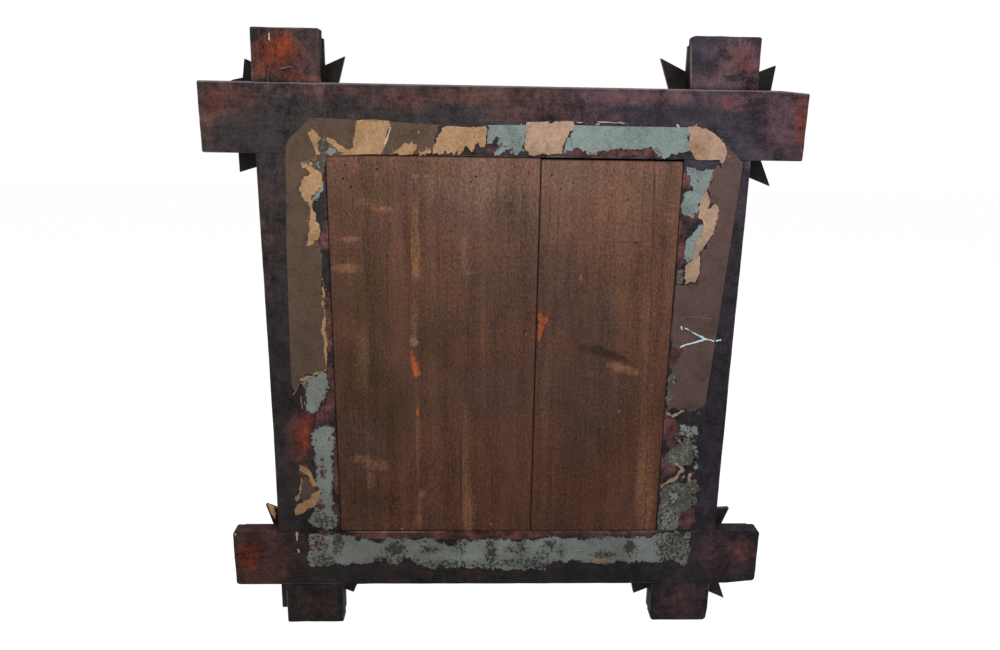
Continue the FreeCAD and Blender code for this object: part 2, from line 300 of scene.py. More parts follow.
def bar_finish(name, along):
    """Smoky dark stain, worn through to red wood in places, under painted light and shade."""
    tint = colours()
    made = Finish(name)
    cloud = made.noise(15.0, 6.0, 0.60, 0.7)
    patch = made.noise(44.0, 6.0, 0.66, 0.4)
    blot = made.noise(130.0, 5.0, 0.70)
    grit = made.noise(430.0, 4.0, 0.72)
    grain = made.noise(tuple(30.0 if axis == along else 330.0 for axis in range(3)), 4.0, 0.6)
    ragged = (cloud * 0.5 + patch * 0.8 + blot * 0.6 + grit * 0.2 - 1.05) * 1.5
    smoke = (cloud - 0.5) * 2.0 + (patch - 0.5) * 2.2 + (blot - 0.5) * 1.8
    smoke = smoke + (grit - 0.5) * 2.0 + (grain - 0.5) * 0.9
    smoke = (smoke + 1.0).math("MAXIMUM", 0.2)
    # Painted light that grows upwards and painted shade down the sides, with the added brightness of the
    # lower bars
    tone = made.attribute("tone")
    # The worn-through colours take a weaker share of the painted light and shade
    worn = smoke * tone ** 0.3
    plum = made.attribute("plum")
    slate = made.mix(plum, tint.bar_dark, (0.043, 0.036, 0.046))
    thin = made.mix(plum, tint.bar_mid, (0.104, 0.058, 0.066))
    base = made.mix(made.frayed("warm", ragged * 0.7, 0.05, 0.85), slate, thin)
    # Dark stain and the painted shadows under the clinched nails, towards near black
    base = made.mix(made.frayed("dark", ragged * 0.6, 0.30, 0.90) * 0.85, base, (0.015, 0.012, 0.014))
    base = made.shade(smoke * tone, base)
    red = made.shade(worn, made.mix(plum * 0.7, tint.bar_red, (0.145, 0.050, 0.048)))
    base = made.mix(made.frayed("red", ragged * 0.7, 0.20, 0.90), base, red)
    orange = made.shade(worn, (0.300, 0.056, 0.018))
    base = made.mix(made.frayed("orange", ragged * 0.7, 0.30, 0.95) * 0.9, base, orange)
    raw = made.mix(plum, (0.135, 0.054, 0.046), (0.125, 0.054, 0.054))
    bare = made.mix((patch * 0.6 + blot * 0.4).step(0.40, 0.58), (0.070, 0.036, 0.036), raw)
    bare = made.shade(smoke * tone ** 0.4, bare)
    base = made.mix(made.frayed("bare", ragged * 0.5, 0.36, 0.60), base, bare)
    fleck = made.noise(760.0, 2.0, 0.5)
    base = made.mix((fleck + patch * 0.2).step(0.76, 0.82) * 0.30, base, (0.26, 0.20, 0.18))
    base = made.mix(made.frayed("edge", ragged * 0.7, 0.45, 1.05) * 0.5, base, tint.bar_pale)
    # Pale wear spots, and the line of rubbed wear and painted highlight along the top edges
    base = made.mix(made.frayed("pale", ragged * 0.5, 0.35, 0.80) * 0.75, base, tint.bar_pale)
    rough = (cloud * 0.3 + grit * 0.2 + 0.45).clamp()
    height = grain * 0.5 + grit * 0.6 + blot * 0.6
    return made.close(base, rough, height, 0.5, 0.0010, {"Specular IOR Level": 0.08})


def board_finish(name):
    """Rough sawn softwood, furry and stained, under painted light that is strongest at its top."""
    tint = colours()
    made = Finish(name)
    cloud = made.noise((14.0, 14.0, 9.0), 5.0, 0.60, 0.8)
    hue = made.noise((24.0, 24.0, 15.0), 5.0, 0.60, 0.5)
    band = made.noise((75.0, 20.0, 1.8), 4.0, 0.60, 0.4)
    grain = made.noise((560.0, 60.0, 16.0), 4.0, 0.62, 0.2)
    fur = made.noise((420.0, 300.0, 300.0), 4.0, 0.75)
    pore = made.noise((800.0, 400.0, 330.0), 3.0, 0.6)
    # Painted light: the boards turn from their shaded colour at the bottom to their lit colour at the top
    light = made.attribute("light")
    base = made.mix(light, tint.board_shaded, tint.board_lit)
    smoky = made.shade(light + 0.45, (0.104, 0.066, 0.054))
    base = made.mix((hue + made.attribute("grey") * 0.35).step(0.42, 0.72) * 0.6, base, smoky)
    base = made.mix((hue * 0.4 + made.attribute("olive")).step(0.25, 0.95) * 0.8, base,
                    made.shade(light + 0.40, (0.120, 0.071, 0.038)))
    ragged = (band * 0.5 + fur * 0.9 + cloud * 0.6 + hue * 0.5 - 1.25) * 1.3
    base = made.mix(made.frayed("pale", ragged * 0.35, 0.15, 0.95) * 0.75, base, (0.310, 0.190, 0.130))
    # Tan marks and the painted highlight on the raised edge of the split
    base = made.mix(made.frayed("tan", ragged * 0.3, 0.12, 0.85) * 0.8, base, (0.290, 0.138, 0.074))
    # Dark marks and the painted shade in the holes, along the rims, in the groove and along the split
    base = made.mix(made.frayed("dark", ragged * 0.6, 0.25, 0.95) * 0.75, base, (0.030, 0.019, 0.016))
    base = made.mix(made.frayed("orange", ragged * 0.5, 0.30, 0.75) * 0.95, base, tint.board_orange)
    base = made.mix(pore.step(0.61, 0.70) * 0.45, base, (0.026, 0.015, 0.012))
    base = made.mix(fur.step(0.63, 0.75) * 0.30, base, (0.270, 0.170, 0.115))
    rise = (cloud - 0.5) * 1.1 + (band - 0.5) * 0.9 + (grain - 0.5) * 0.9 + (fur - 0.5) * 2.5
    base = made.shade((rise + 1.0).math("MAXIMUM", 0.3), base)
    height = fur * 0.8 + grain * 0.4 + pore * 0.2
    return made.close(base, 0.9, height, 0.6, 0.0009, {"Specular IOR Level": 0.12})


def paper_finish(name, main, other, stain, stain_level, under, under_level):
    """Old glued paper in two washed hues, stained, and worn through to what lies under it."""
    made = Finish(name)
    wash = made.noise(19.0, 4.0, 0.60, 0.5)
    cloud = made.noise(50.0, 6.0, 0.68, 0.6)
    spots = made.noise(250.0, 5.0, 0.68, 0.3)
    fibre = made.noise(560.0, 4.0, 0.70)
    base = made.mix((wash + made.attribute("cool") * 0.4 - 0.2).step(0.36, 0.66), main, other)
    base = made.mix((cloud * 0.7 + spots * 0.4).step(stain_level, stain_level + 0.2) * 0.85, base, stain)
    flake = (cloud * 0.5 + spots * 1.2 + fibre * 0.8 - 1.25) * 2.6
    base = made.mix((flake + made.attribute("olive")).step(under_level, under_level + 0.10), base, under)
    base = made.mix((flake * 0.8 + made.attribute("bare")).step(0.50, 0.60), base, (0.080, 0.032, 0.030))
    eaten = (flake * 0.8 + made.attribute("rim") - 0.4).step(0.50, 0.58)
    base = made.mix(eaten, base, (0.034, 0.026, 0.027))
    rise = (fibre - 0.5) * 1.1 + (wash - 0.5) * 0.9 + (spots - 0.5) * 0.9 + (cloud - 0.5) * 1.2
    base = made.shade((rise + 1.0).math("MAXIMUM", 0.3) * made.attribute("light"), base)
    return made.close(base, 0.88, fibre * 0.7 + spots * 0.5, 0.45, 0.0007, {"Specular IOR Level": 0.18})


def carved_finish(name, along, level):
    """Dark stained knife-carved softwood with its grain along an axis, sooty towards its back."""
    tint = colours()
    made = Finish(name)
    cloud = made.noise(40.0, 5.0, 0.6, 0.5)
    grain = made.noise(tuple(26.0 if axis == along else 300.0 for axis in range(3)), 4.0, 0.6)
    grit = made.noise(420.0, 3.0, 0.65)
    base = made.mix((cloud * 0.7 + grain * 0.6).step(0.45, 0.85),
                    tint.carved, tint.carved_light)
    base = made.shade((grain * 0.9 + grit * 0.6 + 0.25) * level, base)
    soot = made.mix((cloud + grit * 0.3).step(0.5, 0.85), (0.011, 0.009, 0.008), (0.030, 0.024, 0.021))
    base = made.mix((made.attribute("rise") + (grit - 0.5) * 0.5).step(0.2, 0.95), soot, base)
    bump = grain * 0.7 + grit * 0.3
    return made.close(base, (cloud * 0.3 + 0.4).clamp(), bump, 0.3, 0.0005, {"Specular IOR Level": 0.12})


def add_rise(piece):
    """Marks a carved piece from 0 at its back to 1 on its front."""
    depth = mesh_points(piece.data)[:, 1]
    add_attribute(piece.data, "rise", (depth.max() - depth) / (depth.max() - depth.min()))


def raw_finish(name):
    """Golden unstained softwood."""
    made = Finish(name)
    grain = made.noise((500.0, 60.0, 120.0), 4.0, 0.6)
    base = made.mix(grain.step(0.35, 0.65), (0.560, 0.310, 0.140), (0.400, 0.210, 0.090))
    return made.close(base, 0.7, grain, 0.3, 0.0005)


def iron_finish(name):
    """Dull iron with a skin of rust."""
    tint = colours()
    made = Finish(name)
    cloud = made.noise(260.0, 4.0, 0.6, 0.4)
    grit = made.noise(1500.0, 3.0, 0.6)
    base = made.mix(cloud.step(0.45, 0.65), tint.iron, (0.090, 0.050, 0.035))
    base = made.shade(grit * 0.8 + 0.6, base)
    return made.close(base, (cloud * 0.4 + 0.35).clamp(), grit, 0.4, 0.0003, {"Metallic": 0.3})


# How far in front of the back of the glass the dark coat starts to show, and shows in full
COAT_START = 1.8 * MM
COAT_FULL = 0.8 * MM


def glass_finish(name):
    """Old silvered glass, cloudy and spotted towards its edges, with a dark coat behind."""
    made = Finish(name)
    cloud = made.noise(12.0, 4.0, 0.6, 0.4)
    spot = made.noise(160.0, 3.0, 0.6)
    split = made.node("ShaderNodeSeparateXYZ", {}, {0: made.coords})
    across = Value(made, split.outputs[0]).math("ABSOLUTE") * 5.2
    upward = Value(made, split.outputs[2]).math("ABSOLUTE") * 4.5
    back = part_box("mirror_glass")[1].y
    behind = Value(made, split.outputs[1]).step(back - COAT_START, back - COAT_FULL)
    rim = across.math("MAXIMUM", upward)
    aged = (rim * 0.55 + cloud * 0.35 + spot * 0.30 - 0.30).step(0.46, 0.62)
    base = made.mix(aged * 0.85, (0.80, 0.81, 0.80), (0.10, 0.085, 0.07))
    base = made.mix(behind, base, (0.012, 0.009, 0.008))
    rough = (aged * 0.35 + 0.03 + behind * 0.8).clamp()
    return made.close(base, rough, constants={"Metallic": 1.0 - behind})


# Wear and stain on the bars, and painted shadows under the nails, in photo pixels: middle across,
# middle down, half width, half height, strength
WARM_STAIN = (
    (545, 112, 60, 10, 0.65), (748, 92, 16, 16, 0.70), (284, 55, 40, 32, 0.7), (225, 98, 32, 14, 0.8),
    (206, 112, 10, 26, 0.6), (330, 92, 60, 8, 0.5), (405, 100, 30, 12, 0.7), (500, 96, 90, 9, 0.75),
    (640, 97, 70, 8, 0.75), (735, 103, 24, 10, 0.7), (785, 125, 26, 34, 0.7), (740, 66, 26, 26, 0.8),
    (712, 80, 24, 8, 0.6), (250, 556, 40, 30, 1.1), (730, 552, 36, 26, 0.55), (680, 602, 24, 18, 0.7),
    (318, 602, 26, 18, 0.4), (300, 435, 14, 30, 0.8), (265, 240, 12, 70, 0.25), (440, 575, 80, 6, 0.35),
)
RED_WEAR = (
    (276, 52, 26, 24, 0.75), (284, 46, 9, 15, 0.8), (258, 60, 12, 20, 0.6), (290, 76, 24, 7, 0.6),
    (215, 102, 12, 12, 0.55), (240, 93, 24, 7, 0.4), (802, 122, 8, 30, 0.8), (728, 102, 7, 6, 0.6),
    (668, 100, 22, 5, 0.35), (560, 96, 26, 7, 0.3), (405, 101, 11, 7, 0.4), (746, 66, 14, 18, 0.55),
    (736, 55, 10, 10, 0.4), (249, 556, 13, 15, 1.0), (745, 548, 17, 14, 0.55), (303, 436, 8, 22, 0.7),
    (308, 420, 8, 9, 0.6), (720, 560, 20, 10, 0.3), (675, 598, 16, 12, 0.3),
)
ORANGE_WEAR = (
    (283, 44, 9, 13, 0.75), (270, 47, 12, 10, 0.5), (258, 62, 7, 12, 0.45), (213, 104, 7, 8, 0.35),
    (804, 120, 4, 22, 0.45), (305, 438, 4.5, 14, 0.58), (304, 424, 4, 8, 0.4), (249, 556, 8, 11, 0.6),
    (747, 546, 8, 8, 0.35), (281, 70, 20, 5, 0.3),
)
BARE_WOOD = (
    (692, 218, 9, 6, 0.8), (681, 246, 6, 26, 0.9), (686, 182, 5, 9, 0.9), (676, 360, 8, 13, 0.9),
    (672, 434, 9, 14, 0.9), (686, 518, 10, 13, 0.9), (306, 400, 4, 10, 0.8), (326, 414, 11, 10, 0.8),
    (500, 535, 186, 5.0, 0.9), (600, 153, 36, 5, 0.9), (650, 153, 18, 5, 0.8), (328, 320, 5, 30, 0.9),
    (325, 225, 6, 40, 0.5), (336, 480, 5, 50, 0.6), (660, 470, 6, 24, 0.7), (500, 151, 22, 4, 0.7),
    (322, 540, 12, 10, 0.8), (331, 388, 5, 24, 0.85), (335, 450, 4, 34, 0.75), (304, 470, 5, 8, 0.6),
    (664, 420, 6, 12, 0.7), (668, 468, 8, 7, 0.75), (696, 450, 4, 16, 0.6), (318, 428, 6, 8, 0.7),
)
# Dark stain, with the painted shadows under the clinched nails at (287, 71) and (734, 79)
DARK_STAIN_AND_NAIL_SHADOWS = (
    (254, 36, 7, 10, 0.75), (313, 44, 8, 20, 0.5), (300, 60, 8, 9, 0.2), (287, 71, 8, 2.5, 0.8),
    (265, 130, 50, 16, 0.35), (520, 114, 150, 8, 0.3), (690, 112, 40, 9, 0.5), (765, 140, 22, 18, 0.4),
    (276, 330, 12, 150, 0.3), (400, 574, 90, 8, 0.5), (580, 574, 90, 8, 0.5), (735, 330, 8, 150, 0.2),
    (715, 50, 14, 12, 0.3), (734, 79, 11, 3, 0.85), (290, 530, 10, 40, 0.5), (700, 540, 12, 40, 0.35),
)
PALE_WEAR = (
    (691, 62, 1.6, 28, 0.75), (726, 136, 3, 8, 0.4), (782, 136, 4, 3, 0.4), (320, 27, 1.5, 4, 0.4),
    (744, 84, 5, 4, 0.3), (649, 600, 1.5, 16, 0.4),
)
BAR_PAINT = (("warm", WARM_STAIN), ("dark", DARK_STAIN_AND_NAIL_SHADOWS), ("red", RED_WEAR), ("orange", ORANGE_WEAR))

# Marks on the boards, with some painted highlight and shade, in the same way
BOARD_PALE = (
    (642, 170, 20, 14, 0.30), (528, 208, 24, 16, 0.25), (628, 388, 16, 14, 0.25), (414, 177, 4, 4, 0.6),
    (376, 168, 2, 2, 0.8), (377, 175, 2, 3, 0.7), (414, 342, 5, 5, 0.7), (422, 494, 4, 5, 0.6),
    (404, 202, 4, 9, 0.35), (464, 252, 4, 24, 0.5), (469, 273, 8, 2, 0.6), (490, 185, 60, 26, 0.45),
    (600, 175, 60, 20, 0.25), (600, 374, 26, 4, 0.3), (668, 213, 10, 4, 0.35), (645, 245, 6, 2, 0.4),
    (619.4, 411, 1.2, 1.2, 1.2), (491, 524, 1.2, 1.2, 0.9), (402, 529, 1.5, 1, 0.8),
    (471, 529, 1.5, 1, 0.8), (660, 190, 4, 28, 0.25),
)
# Tan marks, with the painted highlight on the raised edge of the split at x 465 to 474, rows 420 to 512
BOARD_TAN_AND_HIGHLIGHT = (
    (415, 216, 3.5, 20, 0.75), (415.5, 250, 4.5, 27, 1.05), (416, 272, 4.5, 6, 0.9),
    (350, 239, 10, 3, 0.85), (346, 268, 14, 5, 0.70), (365, 202, 12, 5, 0.5), (382, 209, 11, 4, 0.75),
    (360, 459, 12, 5, 0.45), (376, 465, 15, 6, 0.42), (371, 482, 6, 12, 0.40), (418, 440, 3, 60, 0.3),
    (420, 515, 3, 18, 0.45), (466, 420, 4, 26, 0.3), (465, 470, 5, 40, 0.45), (468, 512, 8, 30, 0.55),
    (474, 510, 8, 26, 0.2), (646, 400, 9, 50, 0.34), (645, 490, 10, 70, 0.52), (581, 278, 2, 4, 0.85),
    (362, 365, 8, 40, 0.35), (653, 300, 4, 70, 0.3), (544, 400, 5, 60, 0.3), (614, 365, 10, 3, 0.55),
    (623, 368.4, 11, 3.4, 0.7), (633, 372, 10, 4, 0.55), (430, 190, 14, 20, 0.35),
    (620, 205, 28, 18, 0.35), (668, 218, 10, 7, 0.45), (648, 330, 8, 60, 0.35), (352, 165, 16, 10, 0.35),
    (415, 320, 5, 26, 0.4), (590, 470, 40, 60, 0.15), (668, 300, 8, 60, 0.25),
)
# Dark marks, with the painted shadow along the step of the split at (461, 480) and the painted shade in the
# groove of the narrow board from (654.4, 185) to (649.6, 352)
BOARD_DARK_AND_SHADE = (
    (584, 348, 10, 5, 0.75), (597, 350, 10, 5, 1.0), (609, 354, 10, 4.5, 1.0), (619, 358, 9, 3.5, 0.95),
    (627, 361.4, 6, 2.4, 0.7), (606, 376, 24, 2, 0.35), (396, 420, 18, 50, 0.45), (636, 243, 4, 2, 0.8),
    (624, 242, 16, 1.4, 0.6), (662, 440, 6, 110, 0.45), (338, 320, 7, 100, 0.35),
    (365, 180, 24, 14, 0.35), (350, 253, 22, 6, 0.45), (375, 255, 24, 40, 0.3), (488, 298, 8, 20, 0.35),
    (461, 480, 1.2, 56, 0.85), (415, 470, 1.5, 60, 0.5), (668, 192, 9, 18, 0.4), (620, 408, 4, 3, 0.4),
    (400, 204, 1.2, 9, 0.5), (408, 203, 1.2, 9, 0.5), (580, 238, 50, 4, 0.25), (640, 366, 10, 2, 0.3),
    (420, 371, 2, 6, 0.4), (654.4, 185, 1.1, 26, 0.7), (653, 240, 1.1, 30, 0.65),
    (651.4, 300, 1.1, 34, 0.6), (649.6, 352, 1.1, 26, 0.5), (409.6, 240, 1.1, 34, 0.7),
    (405, 192, 1.1, 9, 0.5), (424, 300, 3, 20, 0.3), (395, 300, 10, 40, 0.3), (666, 209, 11, 1, 0.5),
    (350, 200, 20, 16, 0.3), (475, 276, 14, 2, 0.35),
)
BOARD_ORANGE = (
    (411.5, 353, 1.5, 4, 0.6), (413, 360, 2.5, 5, 0.8), (415.5, 367, 3.5, 5, 0.9), (417, 373, 4, 4, 0.85),
    (417.5, 412, 1.8, 5, 0.7), (540, 317, 3, 5, 0.9), (544, 320, 4, 5, 0.9), (541, 327, 3.5, 6, 0.9),
    (539, 335, 2, 6, 0.8),
)
BOARD_GREY = (
    (490, 205, 60, 30, 0.8), (570, 172, 40, 12, 0.7), (500, 290, 40, 40, 0.5), (570, 300, 40, 50, 0.6),
    (580, 395, 36, 40, 0.9), (490, 390, 30, 30, 0.6), (360, 430, 24, 60, 0.3),
)
BOARD_OLIVE = (
    (352, 212, 24, 22, 0.45), (378, 190, 26, 24, 0.45), (375, 300, 34, 46, 0.55),
    (362, 372, 26, 46, 0.60), (440, 320, 34, 40, 0.30), (396, 410, 18, 50, 0.55),
    (636, 190, 24, 22, 0.35), (424, 172, 26, 12, 0.40), (600, 240, 30, 20, 0.20),
    (500, 500, 30, 30, 0.30), (360, 500, 26, 26, 0.35),
)
BOARD_PAINT = (
    ("pale", BOARD_PALE), ("tan", BOARD_TAN_AND_HIGHLIGHT), ("orange", BOARD_ORANGE), ("grey", BOARD_GREY),
    ("olive", BOARD_OLIVE),
)
# Photo row where the painted light on the boards is strongest, and the rows over which it fades
BOARD_TOP = 158.0
BOARD_FADE = 130.0
WORM_HOLES = (
    (345, 165), (343, 178.5), (351, 187), (377, 169), (471, 181.5), (476, 176.5), (486, 176.5),
    (529, 173), (552, 175), (561, 189), (573, 183), (586, 181), (611, 176), (628, 200),
)


def painted(points, spots):
    """Strength of the strongest spot at each of an array of places, from their photo pixels."""
    px, py = pixels_of(points)
    level = np.zeros(len(points))
    for across, down, half_width, half_height, strength in spots:
        far = ((px - across) / half_width) ** 2 + ((py - down) / half_height) ** 2
        level = np.maximum(level, strength * np.exp(-0.7 * far ** 1.5))
    return level


def rough_values(points, scale, seed, octaves=4):
    """Fractal noise at an array of places, about -1 to 1."""
    shift = Vector((seed * 7.31, seed * 3.17, seed * 5.73))
    scaled = points * np.array(scale)
    return np.array([noise.fractal(Vector(p) + shift, 1.0, 2.0, octaves) for p in scaled])


def patches(points, scale, seed, gain, middle):
    """Patches of noise at an array of places, kept between 0 and 1."""
    return np.clip(rough_values(points, scale, seed) * gain + middle, 0, 1)


def fading(away, full, reach):
    """A value that is full on a line and fades at distances away from it."""
    return full * np.exp(-(away / reach) ** 2)


def add_attribute(mesh, name, values):
    """One named value per vertex."""
    layer = mesh.attributes.new(name, "FLOAT", "POINT")
    layer.data.foreach_set("value", np.asarray(values, np.float32))


def cells(xs, ys, zs, removed):
    """Vertices and outward quads of a block of cells, less the removed boxes."""
    lines = [np.array(xs), np.array(ys), np.array(zs)]
    middles = [(line[1:] + line[:-1]) / 2 for line in lines]
    mid_x, mid_y, mid_z = np.meshgrid(*middles, indexing="ij")
    solid = np.ones(mid_x.shape, bool)
    for low, high in removed:
        inside = (mid_x > low[0]) & (mid_x < high[0]) & (mid_y > low[1]) & (mid_y < high[1])
        solid &= ~(inside & (mid_z > low[2]) & (mid_z < high[2]))
    padded = np.pad(solid, 1)
    counts = [len(line) for line in lines]
    turns = (((0, 1, 0), (0, 0, 1)), ((0, 0, 1), (1, 0, 0)), ((1, 0, 0), (0, 1, 0)))
    quads = []
    for axis in range(3):
        before = np.roll(padded, 1, axis)
        for facing in (1, -1):
            edge = (before & ~padded) if facing > 0 else (padded & ~before)
            corner = np.argwhere(edge) - 1
            first, second = (np.array(turn) for turn in turns[axis])
            ring = [corner, corner + first, corner + first + second, corner + second]
            if facing < 0:
                ring = ring[::-1]
            index = [(p[:, 0] * counts[1] + p[:, 1]) * counts[2] + p[:, 2] for p in ring]
            quads.append(np.stack(index, 1))
    quads = np.concatenate(quads)
    used, faces = np.unique(quads, return_inverse=True)
    faces = faces.reshape(-1, 4)
    grid = np.stack(np.meshgrid(*lines, indexing="ij"), -1).reshape(-1, 3)
    return grid[used], faces


def ruled(low, high, cell, extra=()):
    """Rising coordinates with a fine run at both ends, even cells between and some extra lines."""
    fine = np.array((0.0, 0.35, 0.8, 1.4, 2.2, 3.2, 4.6)) * MM
    clear = 6.5 * MM
    count = max(2, round((high - low) / cell))
    even = np.linspace(low, high, count + 1)
    inner = even[(even > low + clear) & (even < high - clear)]
    inner = [v for v in inner if all(abs(v - e) > 0.4 * cell for e in extra)]
    return np.array(sorted(set(list(low + fine) + list(high - fine) + list(inner) + list(extra))))


def put_mesh(name, points, faces, material, smooth=True):
    """New object at the origin with a plain mesh and one material."""
    mesh = bpy.data.meshes.new(name)
    mesh.from_pydata([tuple(p) for p in points], [], [tuple(int(i) for i in f) for f in faces])
    mesh.validate()
    mesh.materials.append(material)
    mesh.polygons.foreach_set("use_smooth", [smooth] * len(mesh.polygons))
    piece = bpy.data.objects.new(name, mesh)
    bpy.context.scene.collection.objects.link(piece)
    return piece


def settle(piece, slot, *nodes):
    """Rides the piece on the one body and hides the CAD nodes it stands for; its slot is not used."""
    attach(piece, "root")
    if nodes:
        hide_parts(*nodes)


def rounded_block(points, low, high, radius):
    """Outer arrises rounded by a radius per point."""
    low = np.array(low)
    high = np.array(high)
    outer = np.any((points < low + 1e-7) | (points > high - 1e-7), axis=1)
    reach = radius[:, None]
    core = np.clip(points, low + reach, high - reach)
    away = points - core
    length = np.linalg.norm(away, axis=1)
    turned = core + away * (radius / np.maximum(length, 1e-9))[:, None]
    moved = outer & (length > 1e-9)
    return np.where(moved[:, None], turned, points)


def rounded_corners(points, low, high, radii, along):
    """Corners in the plane of the frame rounded, squares turned to discs about each corner."""
    flat = points[:, (0, 2)]
    radius = np.where(points[:, along] > 0, radii[1], radii[0])[:, None]
    core = np.clip(flat, np.array((low[0], low[2])) + radius, np.array((high[0], high[2])) - radius)
    away = flat - core
    length = np.maximum(np.linalg.norm(away, axis=1), 1e-9)
    share = np.abs(away).max(axis=1) / length
    points[:, (0, 2)] = core + away * share[:, None]
    return points


def shallow(height, full=4 * MM):
    """1 on the back plane falling to 0 at a depth."""
    return np.clip(1 + height / full, 0, 1)


# Rounding of the corners at the low and the high end of each bar
CORNER_ROUND = {
    "top_rail": (1.6 * MM, 1.6 * MM), "bottom_rail": (4.0 * MM, 4.0 * MM),
    "left_stile": (4.2 * MM, 2.4 * MM), "right_stile": (2.2 * MM, 1.0 * MM),
}

# Hand-planed ends of the bars: bar, end, where the trim starts, how far it runs until it is
# full, and how much it takes off the low and the high side, in millimetres
END_TRIMS = (
    ("right_stile", 1, 280.6, 2.0, 1.2, 0.3),
    ("right_stile", 1, 280.6, 50.0, 0.0, 1.4),
    ("left_stile", 1, 280.6, 50.0, 0.8, 0.0),
    ("right_stile", -1, 280.6, 2.0, 0.0, 3.4),
    ("left_stile", -1, 315.0, 16.0, 1.5, 1.0),
    ("top_rail", -1, 275.0, 30.0, 0.0, 2.4),
    ("bottom_rail", -1, 270.0, 35.0, 3.5, 0.5),
)

# Added tone of the lower bars across the photo, in full below a drop from the middle
LOWER_TONE_PIXELS = (235, 310, 640, 700, 725, 760)
LOWER_TONE = (0.13, 0.03, 0.03, 0.09, 0.02, -0.05)
LOWER_TONE_DROP = 150 * MM
# Photo column where the stain starts to turn from slate to plum, and the columns until it has
PLUM_START = 470
PLUM_RUN = 190
# Play around the half-laps, reach and depth of the ragged bar ends
LAP_PLAY = 0.1 * MM
END_REACH = 5 * MM
END_RAGGED = 0.6 * MM
# Size of the cells across a bar over those along it
CELL_ACROSS = 1.25
# Noise scales of the wear on the edges, the ragged ends, and the hollows across and along a bar
WEAR_SCALE = (18, 18, 18)
RAGGED_SCALE = (70, 70, 70)
HOLLOWS_ACROSS = 38.0
HOLLOWS_ALONG = 9.0
# Painted light on the bars in the middle of the frame and its change per metre upwards and downwards
BAR_LIGHT_MIDDLE = 0.60
BAR_LIGHT_UP = 2.0
BAR_LIGHT_DOWN = 0.65
# Painted shade down a bar's side: where it starts, how soon it is full, and how dark it makes a side and a
# rail's top
SIDE_START = -0.8 * MM
SIDE_RUN = 1.4 * MM
SIDE_SHADE = 0.90
TOP_SHADE = 0.3
# Reach of the rubbed edges and of the pale line of wear and painted highlight on a top edge, and the depth
# where it ends
EDGE_REACH = 2.2 * MM
TOP_REACH = 1.8 * MM
TOP_DEPTH = 5 * MM
# How pale the top rail's line is and those of the other bars, and how deep bare wood goes
TOP_RAIL_PALE = 0.85
BAR_PALE = 0.35
BARE_DEPTH = -1.5 * MM


def trimmed(points, name, along, low, high):
    """The bar with its ends planed narrower on their low and high sides."""
    across = 2 - along
    for bar, end, start, run, off_low, off_high in END_TRIMS:
        if bar == name:
            full = np.clip((end * points[:, along] - start * MM) / (run * MM), 0, 1)
            share = (points[:, across] - low[across]) / (high[across] - low[across])
            points[:, across] += full * MM * (off_low * (1 - share) - off_high * share)
    return points


def lap_cuts(low, high, along, crossing, half_depth):
    """The two boxes that the half-laps take from a bar."""
    removed = []
    for sign in (-1, 1):
        cut_low = [low.x - 1, low.y - 1, low.z - 1]
        cut_high = [high.x + 1, high.y + 1, high.z + 1]
        span = sorted((sign * (crossing[0] - LAP_PLAY), sign * (crossing[1] + LAP_PLAY)))
        cut_low[along], cut_high[along] = span
        if along == 0:
            cut_high[1] = half_depth + LAP_PLAY / 2
        else:
            cut_low[1] = half_depth - LAP_PLAY / 2
        removed.append((cut_low, cut_high))
    return removed


def bar_block(name, along):
    """Points and faces of a bar cut for its half-laps."""
    low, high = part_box(name)
    rail_low, rail_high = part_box("top_rail")
    stile_low, stile_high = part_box("right_stile")
    half_depth = (rail_low.y + rail_high.y) / 2
    crossing = (stile_low.x, stile_high.x) if along == 0 else (rail_low.z, rail_high.z)
    removed = lap_cuts(low, high, along, crossing, half_depth)
    extra = [[], [removed[0][1][1] if along == 0 else removed[0][0][1]], []]
    extra[along] = [end[along] for cut in removed for end in cut]
    cell = [sizes().bar_cell * CELL_ACROSS] * 3
    cell[along] = sizes().bar_cell
    lines = [ruled(low[a], high[a], cell[a], extra[a]) for a in range(3)]
    return cells(*lines, removed)


def worn_bar(points, name, along, worn, seed):
    """The bar with rounded arrises and corners, planed and ragged ends and hollows in its back."""
    size = sizes()
    low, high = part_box(name)
    points = rounded_block(points, low, high, size.arris_round + size.arris_wear * worn)
    points = rounded_corners(points, low, high, CORNER_ROUND[name], along)
    points = trimmed(points, name, along, low, high)
    stretch = [HOLLOWS_ACROSS] * 3
    stretch[along] = HOLLOWS_ALONG
    hollow = patches(points, stretch, seed + 11, 0.5, 0.35)
    points[:, 1] -= size.bar_dents * hollow * shallow(points[:, 1])
    at_end = np.clip((np.abs(points[:, along]) - (high[along] - END_REACH)) / END_REACH, 0, 1)
    ragged = patches(points, RAGGED_SCALE, seed + 21, 0.5, 0.4)
    points[:, along] -= np.sign(points[:, along]) * at_end * ragged * END_RAGGED
    return points


def bar_tone_and_shade(points, on_top):
    """Brightness of a bar: painted light that grows upwards, and painted shade down its sides and less so
    on top of a rail.
    """
    tone = BAR_LIGHT_MIDDLE + np.where(points[:, 2] > 0, BAR_LIGHT_UP, BAR_LIGHT_DOWN) * points[:, 2]
    added = np.interp(pixels_of(points)[0], LOWER_TONE_PIXELS, LOWER_TONE)
    tone += added * np.clip(-points[:, 2] / LOWER_TONE_DROP, 0, 1)
    sunk = np.clip((SIDE_START - points[:, 1]) / SIDE_RUN, 0, 1)
    return tone * np.where(on_top, 1 - TOP_SHADE * sunk, 1 - SIDE_SHADE * sunk)


